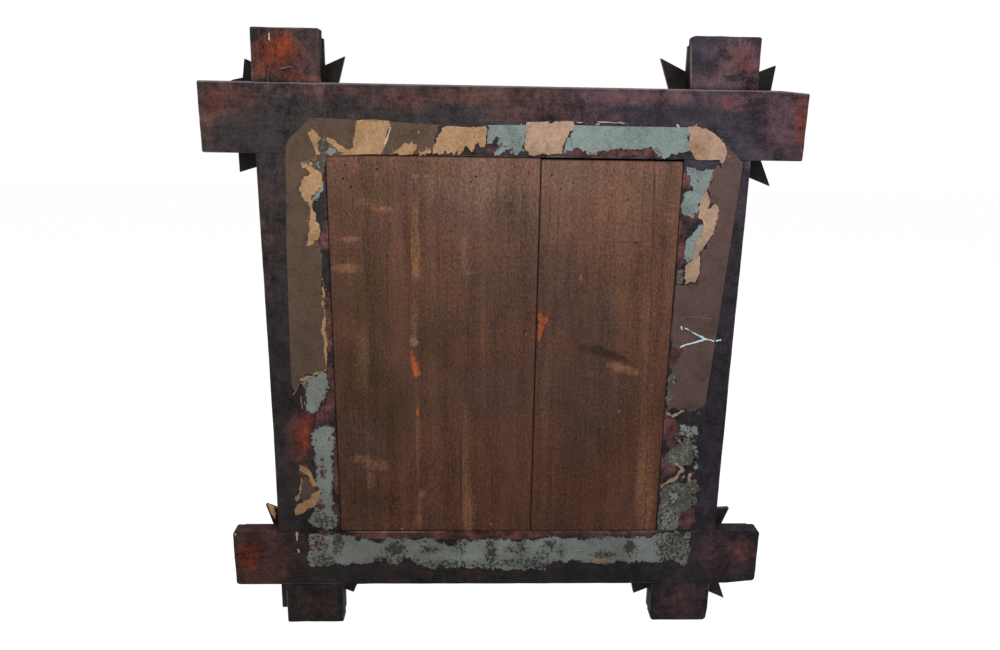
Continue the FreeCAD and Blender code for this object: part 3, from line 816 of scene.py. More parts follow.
def paint_bar(mesh, name, along, plain, points, worn):
    """Paints the stain and wear of a bar, from its places before and after it was worn."""
    low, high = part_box(name)
    gaps = np.sort(np.concatenate((plain - np.array(low), np.array(high) - plain), axis=1), axis=1)
    top_face = plain[:, 2] > high.z - 1e-6
    near_top = np.clip(1.6 - (high.z - plain[:, 2]) / TOP_REACH, 0, 1)
    add_attribute(mesh, "tone", bar_tone_and_shade(points, top_face & (along == 0)))
    add_attribute(mesh, "plum", np.clip((pixels_of(points)[0] - PLUM_START) / PLUM_RUN, 0, 1))
    for key, spots in BAR_PAINT:
        add_attribute(mesh, key, painted(points, spots))
    add_attribute(mesh, "bare", painted(points, BARE_WOOD) * (points[:, 1] > BARE_DEPTH))
    # The pale line along the top edges is rubbed wear with a painted highlight
    pale = TOP_RAIL_PALE if name == "top_rail" else BAR_PALE
    rubbed = pale * near_top * shallow(points[:, 1], TOP_DEPTH)
    add_attribute(mesh, "pale", np.maximum(painted(points, PALE_WEAR), rubbed))
    add_attribute(mesh, "edge", fading(gaps[:, 1], 1.0, EDGE_REACH) * np.clip(0.3 + worn, 0, 1))


class MIRROR_OT_bars(bpy.types.Operator):
    """Four worn bars, half-lapped at the crossings"""

    bl_idname = "mirror.bars"
    bl_label = "Bars"

    def execute(self, context):
        finishes = {0: bar_finish("stained rail", 0), 2: bar_finish("stained stile", 2)}
        for seed, name in enumerate(("top_rail", "bottom_rail", "left_stile", "right_stile")):
            along = 0 if name.endswith("rail") else 2
            plain, faces = bar_block(name, along)
            worn = patches(plain, WEAR_SCALE, seed + 1, 1.0, 0.25)
            points = worn_bar(plain, name, along, worn, seed)
            piece = put_mesh(name + "_worn", points, faces, finishes[along])
            paint_bar(piece.data, name, along, plain, points, worn)
            settle(piece, "bar_wood", name)
        return {"FINISHED"}


def without_modifiers(piece):
    """Turns the piece's modifiers into a plain mesh."""
    graph = bpy.context.evaluated_depsgraph_get()
    mesh = bpy.data.meshes.new_from_object(piece.evaluated_get(graph))
    piece.modifiers.clear()
    piece.data = mesh


def mesh_points(mesh):
    """Vertex places as an array."""
    flat = np.zeros(len(mesh.vertices) * 3)
    mesh.vertices.foreach_get("co", flat)
    return flat.reshape(-1, 3)


# Mesh spacing of the boards across and along, and how much further up the narrow one reaches
BOARD_CELL = (1.1 * MM, 2.2 * MM)
NARROW_RISE = 2.0 * MM
# Ends of the groove in the narrow board and of the split in the wide one, in photo pixels
GROOVE = ((655, 163), (649, 378))
SPLIT = ((458, 405), (462, 531))
# Brightness of the boards across the photo
BOARD_SIDE_PIXELS = (330, 400, 450, 540, 690)
BOARD_SIDE = (0.76, 0.80, 1.06, 1.02, 1.0)
# Noise scales of the grain and of the cupping of the boards
GRAIN_SCALE = (330, 1, 7)
CUP_SCALE = (11, 1, 4)
# Depth and reach of the wear along the sides of a board, at its ends and in the groove
SIDE_WEAR = (0.9 * MM, 1.3 * MM)
END_WEAR = (0.6 * MM, 2.5 * MM)
GROOVE_WEAR = (1.1 * MM, 0.9 * MM)
# Depth of the step at the split, and how steeply it comes in along the line
SPLIT_STEP = 0.7 * MM
SPLIT_RISE = 6
# Strength and reach of the painted shade in the gap around a board, and the depth where holes and sides get
# painted shade
GAP_SHADE = (0.9, 0.9 * MM)
HOLE_SHADE_START = -1.3 * MM
# Worm holes: depth of their middle, their length, sides, and least and greatest share of their size
WORM_MIDDLE = -2 * MM
WORM_LENGTH = 7 * MM
WORM_SIDES = 9
WORM_SHARE = (0.7, 1.15)


def along_line(points, pixels):
    """How far down a line through two photo pixels each point lies, and the line's x there."""
    start, end = (on_back(*pixel) for pixel in pixels)
    share = (points[:, 2] - start[1]) / (end[1] - start[1])
    return share, start[0] + share * (end[0] - start[0])


def board_wear(points, name, top, seed):
    """How deep the back of a board is worn: grain, cupping, edges, and a groove or a split."""
    low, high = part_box(name)
    side = np.minimum(points[:, 0] - low.x, high.x - points[:, 0])
    end = np.minimum(points[:, 2] - low.z, top - points[:, 2])
    grain = rough_values(points, GRAIN_SCALE, seed + 31, 3) * 0.5 + 0.5
    cup = rough_values(points, CUP_SCALE, seed + 41, 2) * 0.5 + 0.5
    depth = sizes().grain_depth * (np.clip(grain, 0, 1.2) + 0.8 * cup)
    depth += fading(side, *SIDE_WEAR) + fading(end, *END_WEAR)
    if name.startswith("narrow"):
        line = along_line(points, GROOVE)[1]
        return depth + fading(points[:, 0] - line, *GROOVE_WEAR)
    share, line = along_line(points, SPLIT)
    below = np.clip(share * SPLIT_RISE, 0, 1)
    return depth + SPLIT_STEP * below * (points[:, 0] > line)


def drill_worm_holes(piece, name, seed):
    """Cuts the worm holes that lie on a board."""
    low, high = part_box(name)
    holes = bmesh.new()
    turn = Matrix.Rotation(math.pi / 2, 4, "X")
    rng = random.Random(seed + 5)
    for px, py in WORM_HOLES:
        x, z = on_back(px, py)
        if low.x < x < high.x:
            radius = sizes().worm_hole / 2 * rng.uniform(*WORM_SHARE)
            place = Matrix.Translation((x, WORM_MIDDLE, z)) @ turn
            bmesh.ops.create_cone(holes, cap_ends=True, segments=WORM_SIDES, radius1=radius, radius2=radius,
                                  depth=WORM_LENGTH, matrix=place)
    cutter = put_mesh("worm_cutter", (), (), piece.data.materials[0])
    holes.to_mesh(cutter.data)
    holes.free()
    cut = piece.modifiers.new("worm holes", "BOOLEAN")
    cut.object = cutter
    cut.solver = "EXACT"
    without_modifiers(piece)
    bpy.data.objects.remove(cutter)


def paint_board(mesh, name, top):
    """Paints the stains, the painted shade in the holes and along the rims, and the painted light of a
    board.
    """
    low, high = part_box(name)
    points = mesh_points(mesh)
    for key, spots in BOARD_PAINT:
        add_attribute(mesh, key, painted(points, spots))
    # Painted shade in the worm holes and down the sides of the board
    inside = np.clip((HOLE_SHADE_START - points[:, 1]) / MM, 0, 1)
    rims = (points[:, 0] - low.x, high.x - points[:, 0], points[:, 2] - low.z, top - points[:, 2])
    # Painted shade in the gap along the rims
    gap_shade = fading(np.minimum.reduce(rims), *GAP_SHADE)
    add_attribute(mesh, "dark", np.maximum.reduce((painted(points, BOARD_DARK_AND_SHADE), inside, gap_shade)))
    across, down = pixels_of(points)
    side = np.interp(across, BOARD_SIDE_PIXELS, BOARD_SIDE)
    add_attribute(mesh, "light", np.exp((BOARD_TOP - down) / BOARD_FADE) * side)


class MIRROR_OT_boards(bpy.types.Operator):
    """Two rough backing boards with grain, a groove, a split and worm holes"""

    bl_idname = "mirror.boards"
    bl_label = "Backing boards"

    def execute(self, context):
        finish = board_finish("rough board")
        for seed, name in enumerate(("wide_backing_board", "narrow_backing_board")):
            low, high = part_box(name)
            top = high.z + (NARROW_RISE if name.startswith("narrow") else 0)
            xs = np.linspace(low.x, high.x, round((high.x - low.x) / BOARD_CELL[0]) + 1)
            zs = np.linspace(low.z, top, round((top - low.z) / BOARD_CELL[1]) + 1)
            points, faces = cells(xs, np.array((low.y, high.y)), zs, [])
            back = points[:, 1] > high.y - 1e-6
            points[:, 1] -= np.where(back, board_wear(points, name, top, seed), 0)
            piece = put_mesh(name + "_rough", points, faces, finish, False)
            drill_worm_holes(piece, name, seed)
            paint_board(piece.data, name, top)
            settle(piece, "board_wood", name)
        return {"FINISHED"}


# Remains of the paper in photo pixels, traced. A third number scales how far the edge
# that starts there strays: a cut edge has 0 and a torn one is left plain.
BROWN_SHEETS = (
    ((285.6, 146, 0), (286.6, 246, 0), (290, 350, 0), (292, 386), (297, 391), (300, 383), (303, 378),
     (312, 375), (326, 370), (325, 347), (324, 330), (324.4, 310), (323, 298), (322, 278), (322, 258),
     (322, 248), (318, 242), (314, 225), (311, 205), (303, 196), (306, 180), (313, 172), (322, 176),
     (324, 165), (326, 156, 0.4), (380, 154.5, 0.4), (430, 153.5), (434, 140), (441, 125, 0),
     (392, 121.5, 0), (340, 119, 0), (318, 117.6, 0), (309, 118.6, 0), (303, 124.5, 0), (297, 131.5, 0),
     (290, 137.5, 0)),
    ((727, 146, 0), (743, 163, 0), (717, 330, 0), (706, 398), (699, 409), (690, 412), (684, 408),
     (678, 410), (668, 411), (667, 400), (669, 385), (672, 372), (678, 362), (683, 350), (672, 347, 0.4),
     (674, 310, 0.4), (675.5, 285), (685, 285), (697, 283), (700, 272), (701, 262), (700, 254),
     (709, 241), (715, 232), (719, 214), (718, 205), (711, 203), (708, 190), (713, 178), (715, 168),
     (722, 168), (726, 158)),
    ((303, 476), (309, 478), (315, 488), (317, 493), (310, 500), (302, 503), (301, 490)),
)
TAN_SHEETS = (
    ((308, 132), (312, 128), (317, 133), (321, 138), (318, 145), (318.5, 150), (320, 155), (316.5, 155.5),
     (314, 147), (311, 140)),
    ((327, 137), (332, 139), (336, 141), (341, 146), (346, 149), (352, 150), (350, 153), (341, 152),
     (335, 147), (329, 143)),
    ((357, 120, 0), (374, 119.6, 0), (390, 121), (390.5, 126), (386, 139), (381, 154, 0.4), (340, 154.5),
     (350, 150), (353, 143), (355, 130)),
    ((391, 154), (397, 150), (402, 147), (405, 143), (409, 144), (412, 140), (413, 144), (417, 145),
     (416, 149), (413, 154.5, 0.4), (400, 155)),
    ((418, 151), (424, 150.5), (430, 149.5), (430.5, 153), (420, 154)),
    ((433, 154), (435, 144), (438, 135), (442, 128), (450, 126, 0.3), (469, 127.4), (478, 126.6),
     (486, 126), (486.4, 133), (485, 145), (480, 147), (478, 142), (475, 145), (472.4, 152), (469, 149),
     (465, 145), (463, 151), (459, 155), (457, 149), (453.6, 155), (451, 152), (448, 154), (445, 150),
     (442.4, 154), (439, 155)),
    ((526.4, 122, 0.3), (548, 121.4), (552, 123.6), (554.4, 121.4, 0.4), (573, 121.4), (573, 130),
     (568, 137), (564, 143), (562, 154), (557, 153.4), (549, 155), (546, 153.4), (534, 156), (529, 155),
     (525, 149), (524.4, 141), (525.6, 131)),
    ((688, 126.6, 0.4), (697, 126), (702, 129), (706, 128.6, 0.3), (716, 135, 0.3), (725, 144),
     (726, 147), (725, 159), (722, 167), (720, 160, 0.3), (697, 160), (694, 157), (691, 151), (689, 141),
     (690, 134)),
    ((301.6, 163.6), (310, 161, 0.3), (317, 156.6, 0.3), (312, 162), (312, 166), (316, 169.6), (320, 172),
     (322.4, 176), (323, 183), (319, 188), (315, 194), (311, 199), (312, 204), (313, 210), (316, 216),
     (319, 224), (320, 234), (318, 240), (310, 246), (306, 246), (308, 240), (308, 234), (309.6, 228),
     (310.6, 220), (310, 216), (311, 209), (308, 202), (302, 195), (299, 188), (302, 180), (307, 176),
     (311, 173), (308, 170), (302.4, 168)),
    ((322.6, 274), (323.4, 288), (324, 298), (324.9, 310), (324.8, 330), (326.6, 336), (326.2, 348),
     (327, 360), (326.8, 370), (325.4, 360), (324.4, 348), (323, 336), (324, 318), (323.2, 300),
     (322.2, 288)),
    ((300, 379), (306, 376), (315, 372), (325, 369), (326, 371), (316, 374.5), (307, 378.5), (301, 381)),
    ((706, 189), (708, 195), (710.6, 200), (709, 205), (708, 209), (712, 206), (715, 204), (718.6, 207),
     (718, 216), (715, 226), (714, 234), (709, 240), (703, 248), (699, 254), (700, 262), (698, 268),
     (699, 274), (696, 282), (689, 282), (685, 284), (684, 278), (685, 270), (687, 264), (692, 258),
     (695, 254), (696, 248), (698, 238), (703, 230), (702, 220), (698, 218), (698, 208), (701, 200),
     (704, 193)),
    ((299, 464), (303, 466), (309, 469), (312, 474), (315, 480), (318, 485), (315, 487), (311, 482),
     (308, 475), (303, 472), (299.4, 470)),
    ((302, 476), (301.4, 488), (300, 497), (297, 501), (295, 497), (298, 495), (300, 486)),
    ((296, 507), (303, 502), (310, 499), (313, 493), (321, 491), (321, 496), (316, 504), (309, 508),
     (303, 513), (296, 515)),
    ((592, 559), (597, 557.5), (606, 557), (605, 562), (592, 562)),
    ((673, 463), (678, 463), (683, 467), (683, 472), (678, 478), (670, 482), (662, 488), (660.5, 486),
     (668, 480), (675, 476), (680, 470), (678, 466)),
    ((688, 474), (692, 473), (691, 481), (687.5, 482)),
    ((667, 410.5), (671, 415), (677, 413), (683, 408.5), (683.5, 410), (678, 415), (671.5, 417),
     (667, 412.5)),
)
GREEN_SHEETS = (
    ((487, 125, 0), (525.6, 125), (524.4, 141), (525, 152), (518, 154), (512, 154), (506, 151),
     (500, 155), (494, 155.4), (500, 147.4), (498, 142), (496, 135), (492.4, 143), (487, 144)),
    ((574, 125, 0), (600, 126, 0), (688, 127.4), (689, 141), (690, 151), (686, 152), (680, 152),
     (677, 155), (672, 153), (669, 157), (665, 159), (661, 155), (658, 157), (654, 151), (652, 147),
     (646, 148), (640, 150), (632, 149), (624, 150), (616, 149), (608, 152), (600, 153), (595, 155),
     (589, 155), (586, 150), (583, 152), (580, 149), (576, 148), (570, 151), (563, 152), (566, 143),
     (573, 132)),
    ((686, 166), (693, 167.6), (701, 171), (709, 169.6), (714, 169), (713.4, 176), (710, 182), (708, 188),
     (704, 193), (702, 200), (698, 206), (698, 212), (694, 219), (688, 216), (682, 212), (681, 204),
     (683, 195), (688, 191), (693, 191), (693.4, 188), (691, 180), (687, 172)),
    ((703, 224), (704, 227), (702, 234), (699, 240), (699, 246), (696, 253), (691, 260), (686, 263),
     (684.6, 254), (685, 246), (688, 238), (693, 232), (698, 226)),
    ((326, 153), (331, 147), (334, 147), (339, 153), (330, 155.5)),
    ((323, 181), (324, 190), (320, 196), (316, 199), (313, 203), (312, 199), (316, 193), (320, 187)),
)
GREY_SHEETS = (
    ((302, 378), (307, 377), (315, 373.6), (326, 370), (328, 373), (329, 378), (327, 392), (325, 399),
     (321, 404), (318, 412), (315, 414), (308, 413), (305, 408), (306.6, 400), (305, 392), (303, 386)),
    ((310, 433), (315, 428), (320, 425), (329, 424), (335, 428), (336, 440), (335, 454), (332, 456),
     (334, 464), (335, 474), (333, 486), (332, 494), (335, 504), (337, 516), (336.6, 526), (333, 530),
     (323, 528), (315, 527), (309, 522), (310, 516), (314, 510), (312, 506), (315, 500), (314, 496),
     (316, 490), (317, 486), (315, 482), (315, 478), (314, 470), (313, 458), (313, 450), (310, 444)),
    ((309, 534), (337, 533), (345, 534), (353, 535), (363, 537), (375, 542), (385, 539), (395, 538),
     (405, 537), (417, 540), (425, 536), (435, 536.6), (437, 541), (447, 543), (453, 545), (457, 540),
     (465, 538), (475, 540), (502, 538), (516, 541), (530, 538), (542, 537), (556, 535), (570, 538),
     (586, 539), (596, 536), (610, 536), (634, 537), (650, 537), (658, 533), (680, 531), (691, 533),
     (692, 550), (686, 568), (676, 562), (666, 560), (650, 563), (630, 563), (614, 564), (602, 563),
     (590, 563), (582, 563), (570, 562), (552, 563.5), (546, 570), (530, 569), (510, 570), (485, 569),
     (445, 568), (435, 570), (425, 567), (411, 560), (401, 562), (391, 564), (385, 558), (375, 560),
     (371, 563), (365, 565), (345, 566), (333, 565), (321, 567), (309, 566)),
    ((676, 426), (681, 424), (690, 426), (697, 424), (699, 432), (693, 438), (696, 442), (688, 441),
     (683, 436), (678, 433)),
    ((693, 442), (698, 446), (697.5, 458), (694, 458), (695, 450)),
    ((681, 468), (686, 470), (685, 478), (681.5, 481)),
    ((666, 492), (672, 490), (680, 491), (679, 500), (674, 506), (668, 504), (670, 497)),
    ((658, 515), (666, 510), (677, 511), (676, 519), (668, 529), (658, 530)),
    ((697, 410), (701.5, 409.5), (702, 415), (698, 416)),
    ((694, 462), (698, 461), (697.6, 470), (695, 471)),
    ((691, 494), (694, 493), (693, 503), (690, 504)),
    ((676, 436), (680, 440), (684, 443), (682, 445), (677, 441)),
    ((673, 380), (676, 379), (675, 388), (672, 390)),
)
OLIVE_SHEETS = (
    ((319, 139), (325, 138), (328, 144), (327, 150), (322, 155), (317, 150)),
    ((307, 162), (325, 157), (324.4, 168), (322, 173), (318, 168), (314, 167), (310, 166)),
    ((677, 270), (684, 269), (684, 277), (682, 283), (676, 284)),
    ((669, 376), (676, 373), (677, 385), (673, 398), (668, 404), (667, 392)),
    ((684, 434), (692, 438), (694, 450), (692, 462), (680, 466), (668, 464), (664, 458), (670, 448),
     (680, 444)),
    ((664, 486), (675, 482), (686, 484), (697, 480), (697, 500), (690, 508), (680, 512), (678, 528),
     (658, 530), (658, 512), (660, 495)),
)
OLIVE_MOTTLES = (
    (520, 548, 8, 8, 0.55), (540, 556, 10, 6, 0.45), (508, 562, 16, 5, 0.60), (530, 562, 14, 5, 0.65),
    (338, 542, 6, 12, 0.75), (322, 560, 12, 8, 0.70), (395, 549, 10, 8, 0.75), (381, 564, 11, 8, 0.80),
    (459, 546, 7, 10, 0.65), (455, 565, 50, 5, 0.60), (491, 552, 6, 15, 0.75), (550, 545, 7, 7, 0.65),
    (561, 551, 4, 10, 0.65), (548, 566, 38, 5, 0.75), (605, 555, 11, 4, 0.75), (630, 547, 6, 8, 0.75),
    (674, 546, 20, 20, 0.65), (690, 545, 6, 22, 0.55), (317, 502, 9, 14, 0.50), (325, 522, 14, 9, 0.60),
    (333, 440, 6, 14, 0.25), (304, 384, 5, 10, 0.60), (318, 390, 12, 20, 0.15), (505, 145, 20, 10, 0.25),
    (672, 520, 12, 12, 0.45), (686, 432, 14, 10, 0.40), (498, 567, 190, 4, 0.40), (590, 130, 20, 6, 0.10),
    (497, 144, 5, 10, 0.45), (690, 215, 8, 6, 0.35), (420, 540, 12, 4, 0.45), (520, 562, 12, 6, 0.50),
)
BARE_MOTTLES = (
    (319, 543, 10, 11, 0.70), (401, 559, 8, 7, 0.62), (430, 550, 12, 5, 0.62), (322.5, 459, 3, 3, 0.75),
    (323.5, 472, 3.5, 8, 0.7), (320, 506, 7, 5, 0.7), (511, 549, 10, 5, 0.58), (600, 153, 30, 3, 0.4),
    (655, 152, 8, 4, 0.45), (511, 152, 7, 4, 0.6), (445, 543, 8, 4, 0.55), (332, 497, 4, 10, 0.4),
)
PALE_FLECKS = (
    ((390.4, 127), (391.4, 127), (387.5, 140), (382, 152), (384.5, 143)),
    ((418, 131), (419, 131.3), (418.8, 133.4), (418, 133)),
    ((576, 121.6), (579, 122), (583, 122), (582, 123), (578, 122.8)),
    ((597, 121.6), (606, 121.5), (616, 122.6), (625, 123.2), (624, 124), (612, 123), (598, 122.4)),
    ((596, 123.6), (600, 124), (599, 125), (596, 124.6)),
    ((676, 124.5), (678, 124), (679.5, 126.5), (679, 128.4), (677, 127)),
    ((706.6, 139.4), (707.8, 140), (707, 140.8)),
    ((268.8, 33), (269.8, 33), (270, 41), (269.2, 41)),
    ((234, 532.5), (236.5, 533), (236.6, 535), (234.5, 534.5)),
    ((296, 532), (298.6, 532.5), (298, 536), (297.4, 541), (296.4, 540)),
    ((297, 548.5), (299.5, 549), (300, 552), (298, 553)),
    ((272, 514), (276, 513.6), (275, 515)),
)
CHALK_STROKES = (
    ((681, 326), (682, 329.5)),
    ((685, 328), (695, 333.5), (706, 339)),
    ((680, 347), (696, 342), (706, 339)),
    ((706, 339), (714, 341)),
    ((716, 341), (721, 339.5)),
)
PAPER_FOLDS = (
    ((675, 318.6), (684, 317.6), (694, 316.6), (704, 317.6), (714, 319)),
    ((299, 384), (296, 391), (293, 395)),
    ((301, 396), (301.6, 403), (302.4, 409)),
    ((713.6, 170), (711, 178), (708.4, 188)),
    ((301.5, 163), (309, 160.4), (317, 156.2)),
)
# Cracks in the bars, drawn as near-black strips that paint the shade inside them
BAR_CRACKS = (
    ((268, 66), (266, 72), (266.6, 76), (265.4, 81)),
    ((270, 71), (269.4, 77), (270.6, 82)),
    ((258, 80.5), (262, 79.6), (266, 80.5)),
)


def torn_line(start, end, stray, keep, rng, shortest=1.2 * MM):
    """Points from start up to end that stray sideways more over longer runs."""
    run = (end[0] - start[0], end[1] - start[1])
    length = math.hypot(*run)
    if length < shortest:
        return [start]
    off = rng.gauss(0, 1) * min(stray, 0.14 * length)
    middle = (start[0] + run[0] / 2 - run[1] / length * off, start[1] + run[1] / 2 + run[0] / length * off)
    finer = stray * keep
    return torn_line(start, middle, finer, keep, rng) + torn_line(middle, end, finer, keep, rng)


def torn_outline(pixels, stray, keep, rng):
    """Ragged outline on the back plane through photo pixels."""
    corners = [on_back(*point[:2]) for point in pixels]
    line = []
    for i, corner in enumerate(corners):
        share = pixels[i][2] if len(pixels[i]) > 2 else 1.0
        line += torn_line(corner, corners[(i + 1) % len(corners)], stray * share, keep, rng)
    return line


def stroke_outline(pixels, half_width):
    """Outline of a drawn stroke through photo pixels."""
    ahead = []
    behind = []
    for i, (px, py) in enumerate(pixels):
        first = pixels[max(i - 1, 0)]
        last = pixels[min(i + 1, len(pixels) - 1)]
        run = (last[0] - first[0], last[1] - first[1])
        length = math.hypot(*run)
        side = (-run[1] / length * half_width, run[0] / length * half_width)
        ahead.append((px + side[0], py + side[1]))
        behind.append((px - side[0], py - side[1]))
    return ahead + behind[::-1]


def drawn(lines, half_width):
    """Outlines of strokes drawn along lines of photo pixels."""
    return [stroke_outline(line, half_width) for line in lines]


# How far in from its edge a torn sheet is eaten away
EATEN_REACH = 7.0 * MM
# Height of the wrinkles of a sheet, how deep it goes into the bar, and how far its inner points
# stray, as a share of their spacing
SHEET_WRINKLE = 0.22 * MM
SHEET_UNDER = -0.35 * MM
SHEET_STRAY = 0.3
# Scale of the wrinkles, share of it for the lifted edges, and where in the noise those start
WRINKLE_SCALE = 60
CURL_SHARE = 0.7
CURL_START = Vector((9, 4, 2))


def sheet_mesh(outline, thickness, curl, spacing, seed, rng):
    """Thin closed sheet over an outline with a wrinkled face and lifted edges."""
    xs = [p[0] for p in outline]
    zs = [p[1] for p in outline]
    places = [Vector(p) for p in outline]
    x = min(xs)
    while x < max(xs):
        z = min(zs)
        while z < max(zs):
            shift_x = rng.uniform(-SHEET_STRAY, SHEET_STRAY) * spacing
            shift_z = rng.uniform(-SHEET_STRAY, SHEET_STRAY) * spacing
            places.append(Vector((x + shift_x, z + shift_z)))
            z += spacing
        x += spacing
    ring = list(range(len(outline)))
    flat, _, triangles, *_ = geometry.delaunay_2d_cdt(places, [], [ring], 1, 1e-6)
    sides = {}
    for tri in triangles:
        for a, b in zip(tri, tri[1:] + tri[:1]):
            sides[(a, b)] = sides.get((b, a), 0) + 1
    rim = [(a, b) for (a, b) in sides if (b, a) not in sides]
    rim_points = {a for edge in rim for a in edge}
    count = len(flat)
    points = []
    for i, p in enumerate(flat):
        spot = Vector((p.x * WRINKLE_SCALE, seed * 3.7, p.y * WRINKLE_SCALE))
        lift = SHEET_WRINKLE * noise.noise(spot) + SHEET_WRINKLE
        if i in rim_points:
            lift += curl * max(0.0, noise.noise(spot * CURL_SHARE + CURL_START))
        points.append((p.x, thickness + lift, p.y))
    points += [(p.x, SHEET_UNDER, p.y) for p in flat]
    faces = [tuple(reversed(tri)) for tri in triangles]
    faces += [tuple(i + count for i in tri) for tri in triangles]
    faces += [(a, b, b + count, a + count) for a, b in rim]
    edge = np.array(outline)
    near = [np.hypot(*(edge - np.array(p)).T).min() for p in flat]
    worn = np.clip(1 - np.array(near) / EATEN_REACH, 0, 1)
    return points, faces, list(worn) * 2


# How far loose bits of paper scatter, the least and greatest of their radius in millimetres and
# of its unevenness, the turns they may start at and their full turn
CRUMB_SCATTER = 1.6 * MM
CRUMB_RADIUS = (0.3, 0.9)
CRUMB_UNEVEN = (0.5, 1.3)
CRUMB_START = 6.28
CRUMB_TURN = 6.2832


def crumbs(outlines, rng, count):
    """Small loose bits of paper scattered beside the torn edges, clear of the opening."""
    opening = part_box("wide_backing_board")[1]
    bits = []
    while len(bits) < count:
        x, z = rng.choice(rng.choice(outlines))
        x += rng.gauss(0, CRUMB_SCATTER)
        z += rng.gauss(0, CRUMB_SCATTER)
        radius = rng.uniform(*CRUMB_RADIUS) * MM
        turn = rng.uniform(0, CRUMB_START)
        sides = rng.randint(5, 7)
        bit = []
        for k in range(sides):
            reach = radius * rng.uniform(*CRUMB_UNEVEN)
            angle = turn + CRUMB_TURN * k / sides
            bit.append((x + reach * math.cos(angle), z + reach * math.sin(angle)))
        if abs(x) > opening.x + radius or abs(z) > opening.z + radius:
            bits.append(bit)
    return bits


def add_to(points, faces, more, ring):
    """Adds the points and faces of one closed shape to those of others."""
    faces += [tuple(a + len(points) for a in face) for face in ring]
    points += more


# Half widths of the drawn strokes in photo pixels
CHALK_HALF = 0.6
FOLD_HALF = 0.45
CRACK_HALF = 0.55
# Spacing of the points inside a sheet, and what is kept of its stray at each finer step, for
# the crumbling green plies and for the others
GREEN_SPACING = 2.6 * MM
SHEET_SPACING = 4.5 * MM
GREEN_KEEP = 0.74
SHEET_KEEP = 0.6
# Groups that tear more than this leave loose bits, so many for each sheet
CRUMB_TEAR = 0.5
CRUMBS_EACH = 10
# First seed of the random draws of the papers, and how far apart the groups' wrinkle seeds start
PAPER_SEED = 100
SEEDS_EACH = 40
# Light on the papers in the middle of the frame, its change per metre upwards, its least and greatest
PAPER_LIGHT = 0.97
PAPER_LIGHT_UP = 1.2
PAPER_LIGHT_RANGE = (0.72, 1.3)
# Photo column where the papers start to turn to their other hue, and the columns until they have
COOL_START = 380
COOL_RUN = 180
# How strongly the edges of the grey ply and of the other crumbling plies are eaten
GREY_EATEN = 1.15
PLY_EATEN = 0.55
SIDE_PAPERS = ("left_paper", "right_paper")
# Papers and marks: piece, outlines, finish, slot, height in millimetres, tear, CAD nodes replaced
PAPERS = (
    ("brown_paper_sheets", BROWN_SHEETS, "brown paper", "brown_paper", 0.10, 1.0, SIDE_PAPERS),
    ("green_paper_sheets", GREEN_SHEETS, "green paper", "green_paper", 0.22, 1.0, ()),
    ("olive_paper_sheets", OLIVE_SHEETS, "olive paper", "green_paper", 0.20, 1.0, ()),
    ("grey_paper_sheets", GREY_SHEETS, "grey paper", "green_paper", 0.27, 1.25, ("bottom_paper",)),
    ("tan_paper_sheets", TAN_SHEETS, "tan paper", "tan_paper", 0.55, 0.7, ("top_paper",)),
    ("pale_flecks", PALE_FLECKS, "pale fleck", "tan_paper", 0.60, 0.25, ()),
    ("paper_folds", drawn(PAPER_FOLDS, FOLD_HALF), "paper fold", "brown_paper", 0.45, 0.2, ()),
    ("chalk_strokes", drawn(CHALK_STROKES, CHALK_HALF), "chalk", "tan_paper", 0.60, 0.3, ()),
    ("bar_cracks", drawn(BAR_CRACKS, CRACK_HALF), "crack", "bar_wood", 0.05, 0.3, ()),
)


def paper_finishes():
    """Finishes of the papers and marks by name."""
    tint = colours()
    dirt = (0.060, 0.056, 0.046)
    core = (0.150, 0.085, 0.050)
    # Two hues, a stain and its level, and what lies under and its level
    looks = {
        "brown paper": (tint.paper_brown, (0.110, 0.068, 0.061),
                        (0.062, 0.041, 0.036), 0.56, (0.045, 0.032, 0.028), 0.75),
        "tan paper": (tint.paper_tan, (0.375, 0.246, 0.176),
                      (0.250, 0.150, 0.088), 0.64, core, 0.80),
        "green paper": (tint.paper_green, (0.200, 0.245, 0.232),
                        (0.105, 0.112, 0.098), 0.58, dirt, 0.52),
        "grey paper": ((0.226, 0.242, 0.216), (0.270, 0.300, 0.276),
                       (0.110, 0.106, 0.088), 0.55, dirt, 0.46),
        "olive paper": ((0.075, 0.070, 0.055), (0.105, 0.100, 0.080),
                        (0.040, 0.030, 0.026), 0.52, (0.190, 0.200, 0.175), 0.18),
        "pale fleck": ((0.500, 0.390, 0.300), (0.420, 0.310, 0.230),
                       (0.300, 0.200, 0.140), 0.60, core, 0.60),
        "chalk": ((0.760, 0.900, 0.960), (0.640, 0.800, 0.870),
                  (0.280, 0.340, 0.350), 0.58, (0.110, 0.090, 0.080), 0.50),
        "paper fold": ((0.200, 0.145, 0.110), (0.170, 0.120, 0.090),
                       (0.120, 0.080, 0.060), 0.60, (0.100, 0.064, 0.048), 0.60),
        # Near-black painted shade inside the cracks
        "crack": ((0.012, 0.009, 0.009), (0.020, 0.013, 0.012),
                  (0.010, 0.008, 0.008), 0.60, (0.010, 0.008, 0.008), 0.80),
    }
    return {name: paper_finish(name, *look) for name, look in looks.items()}


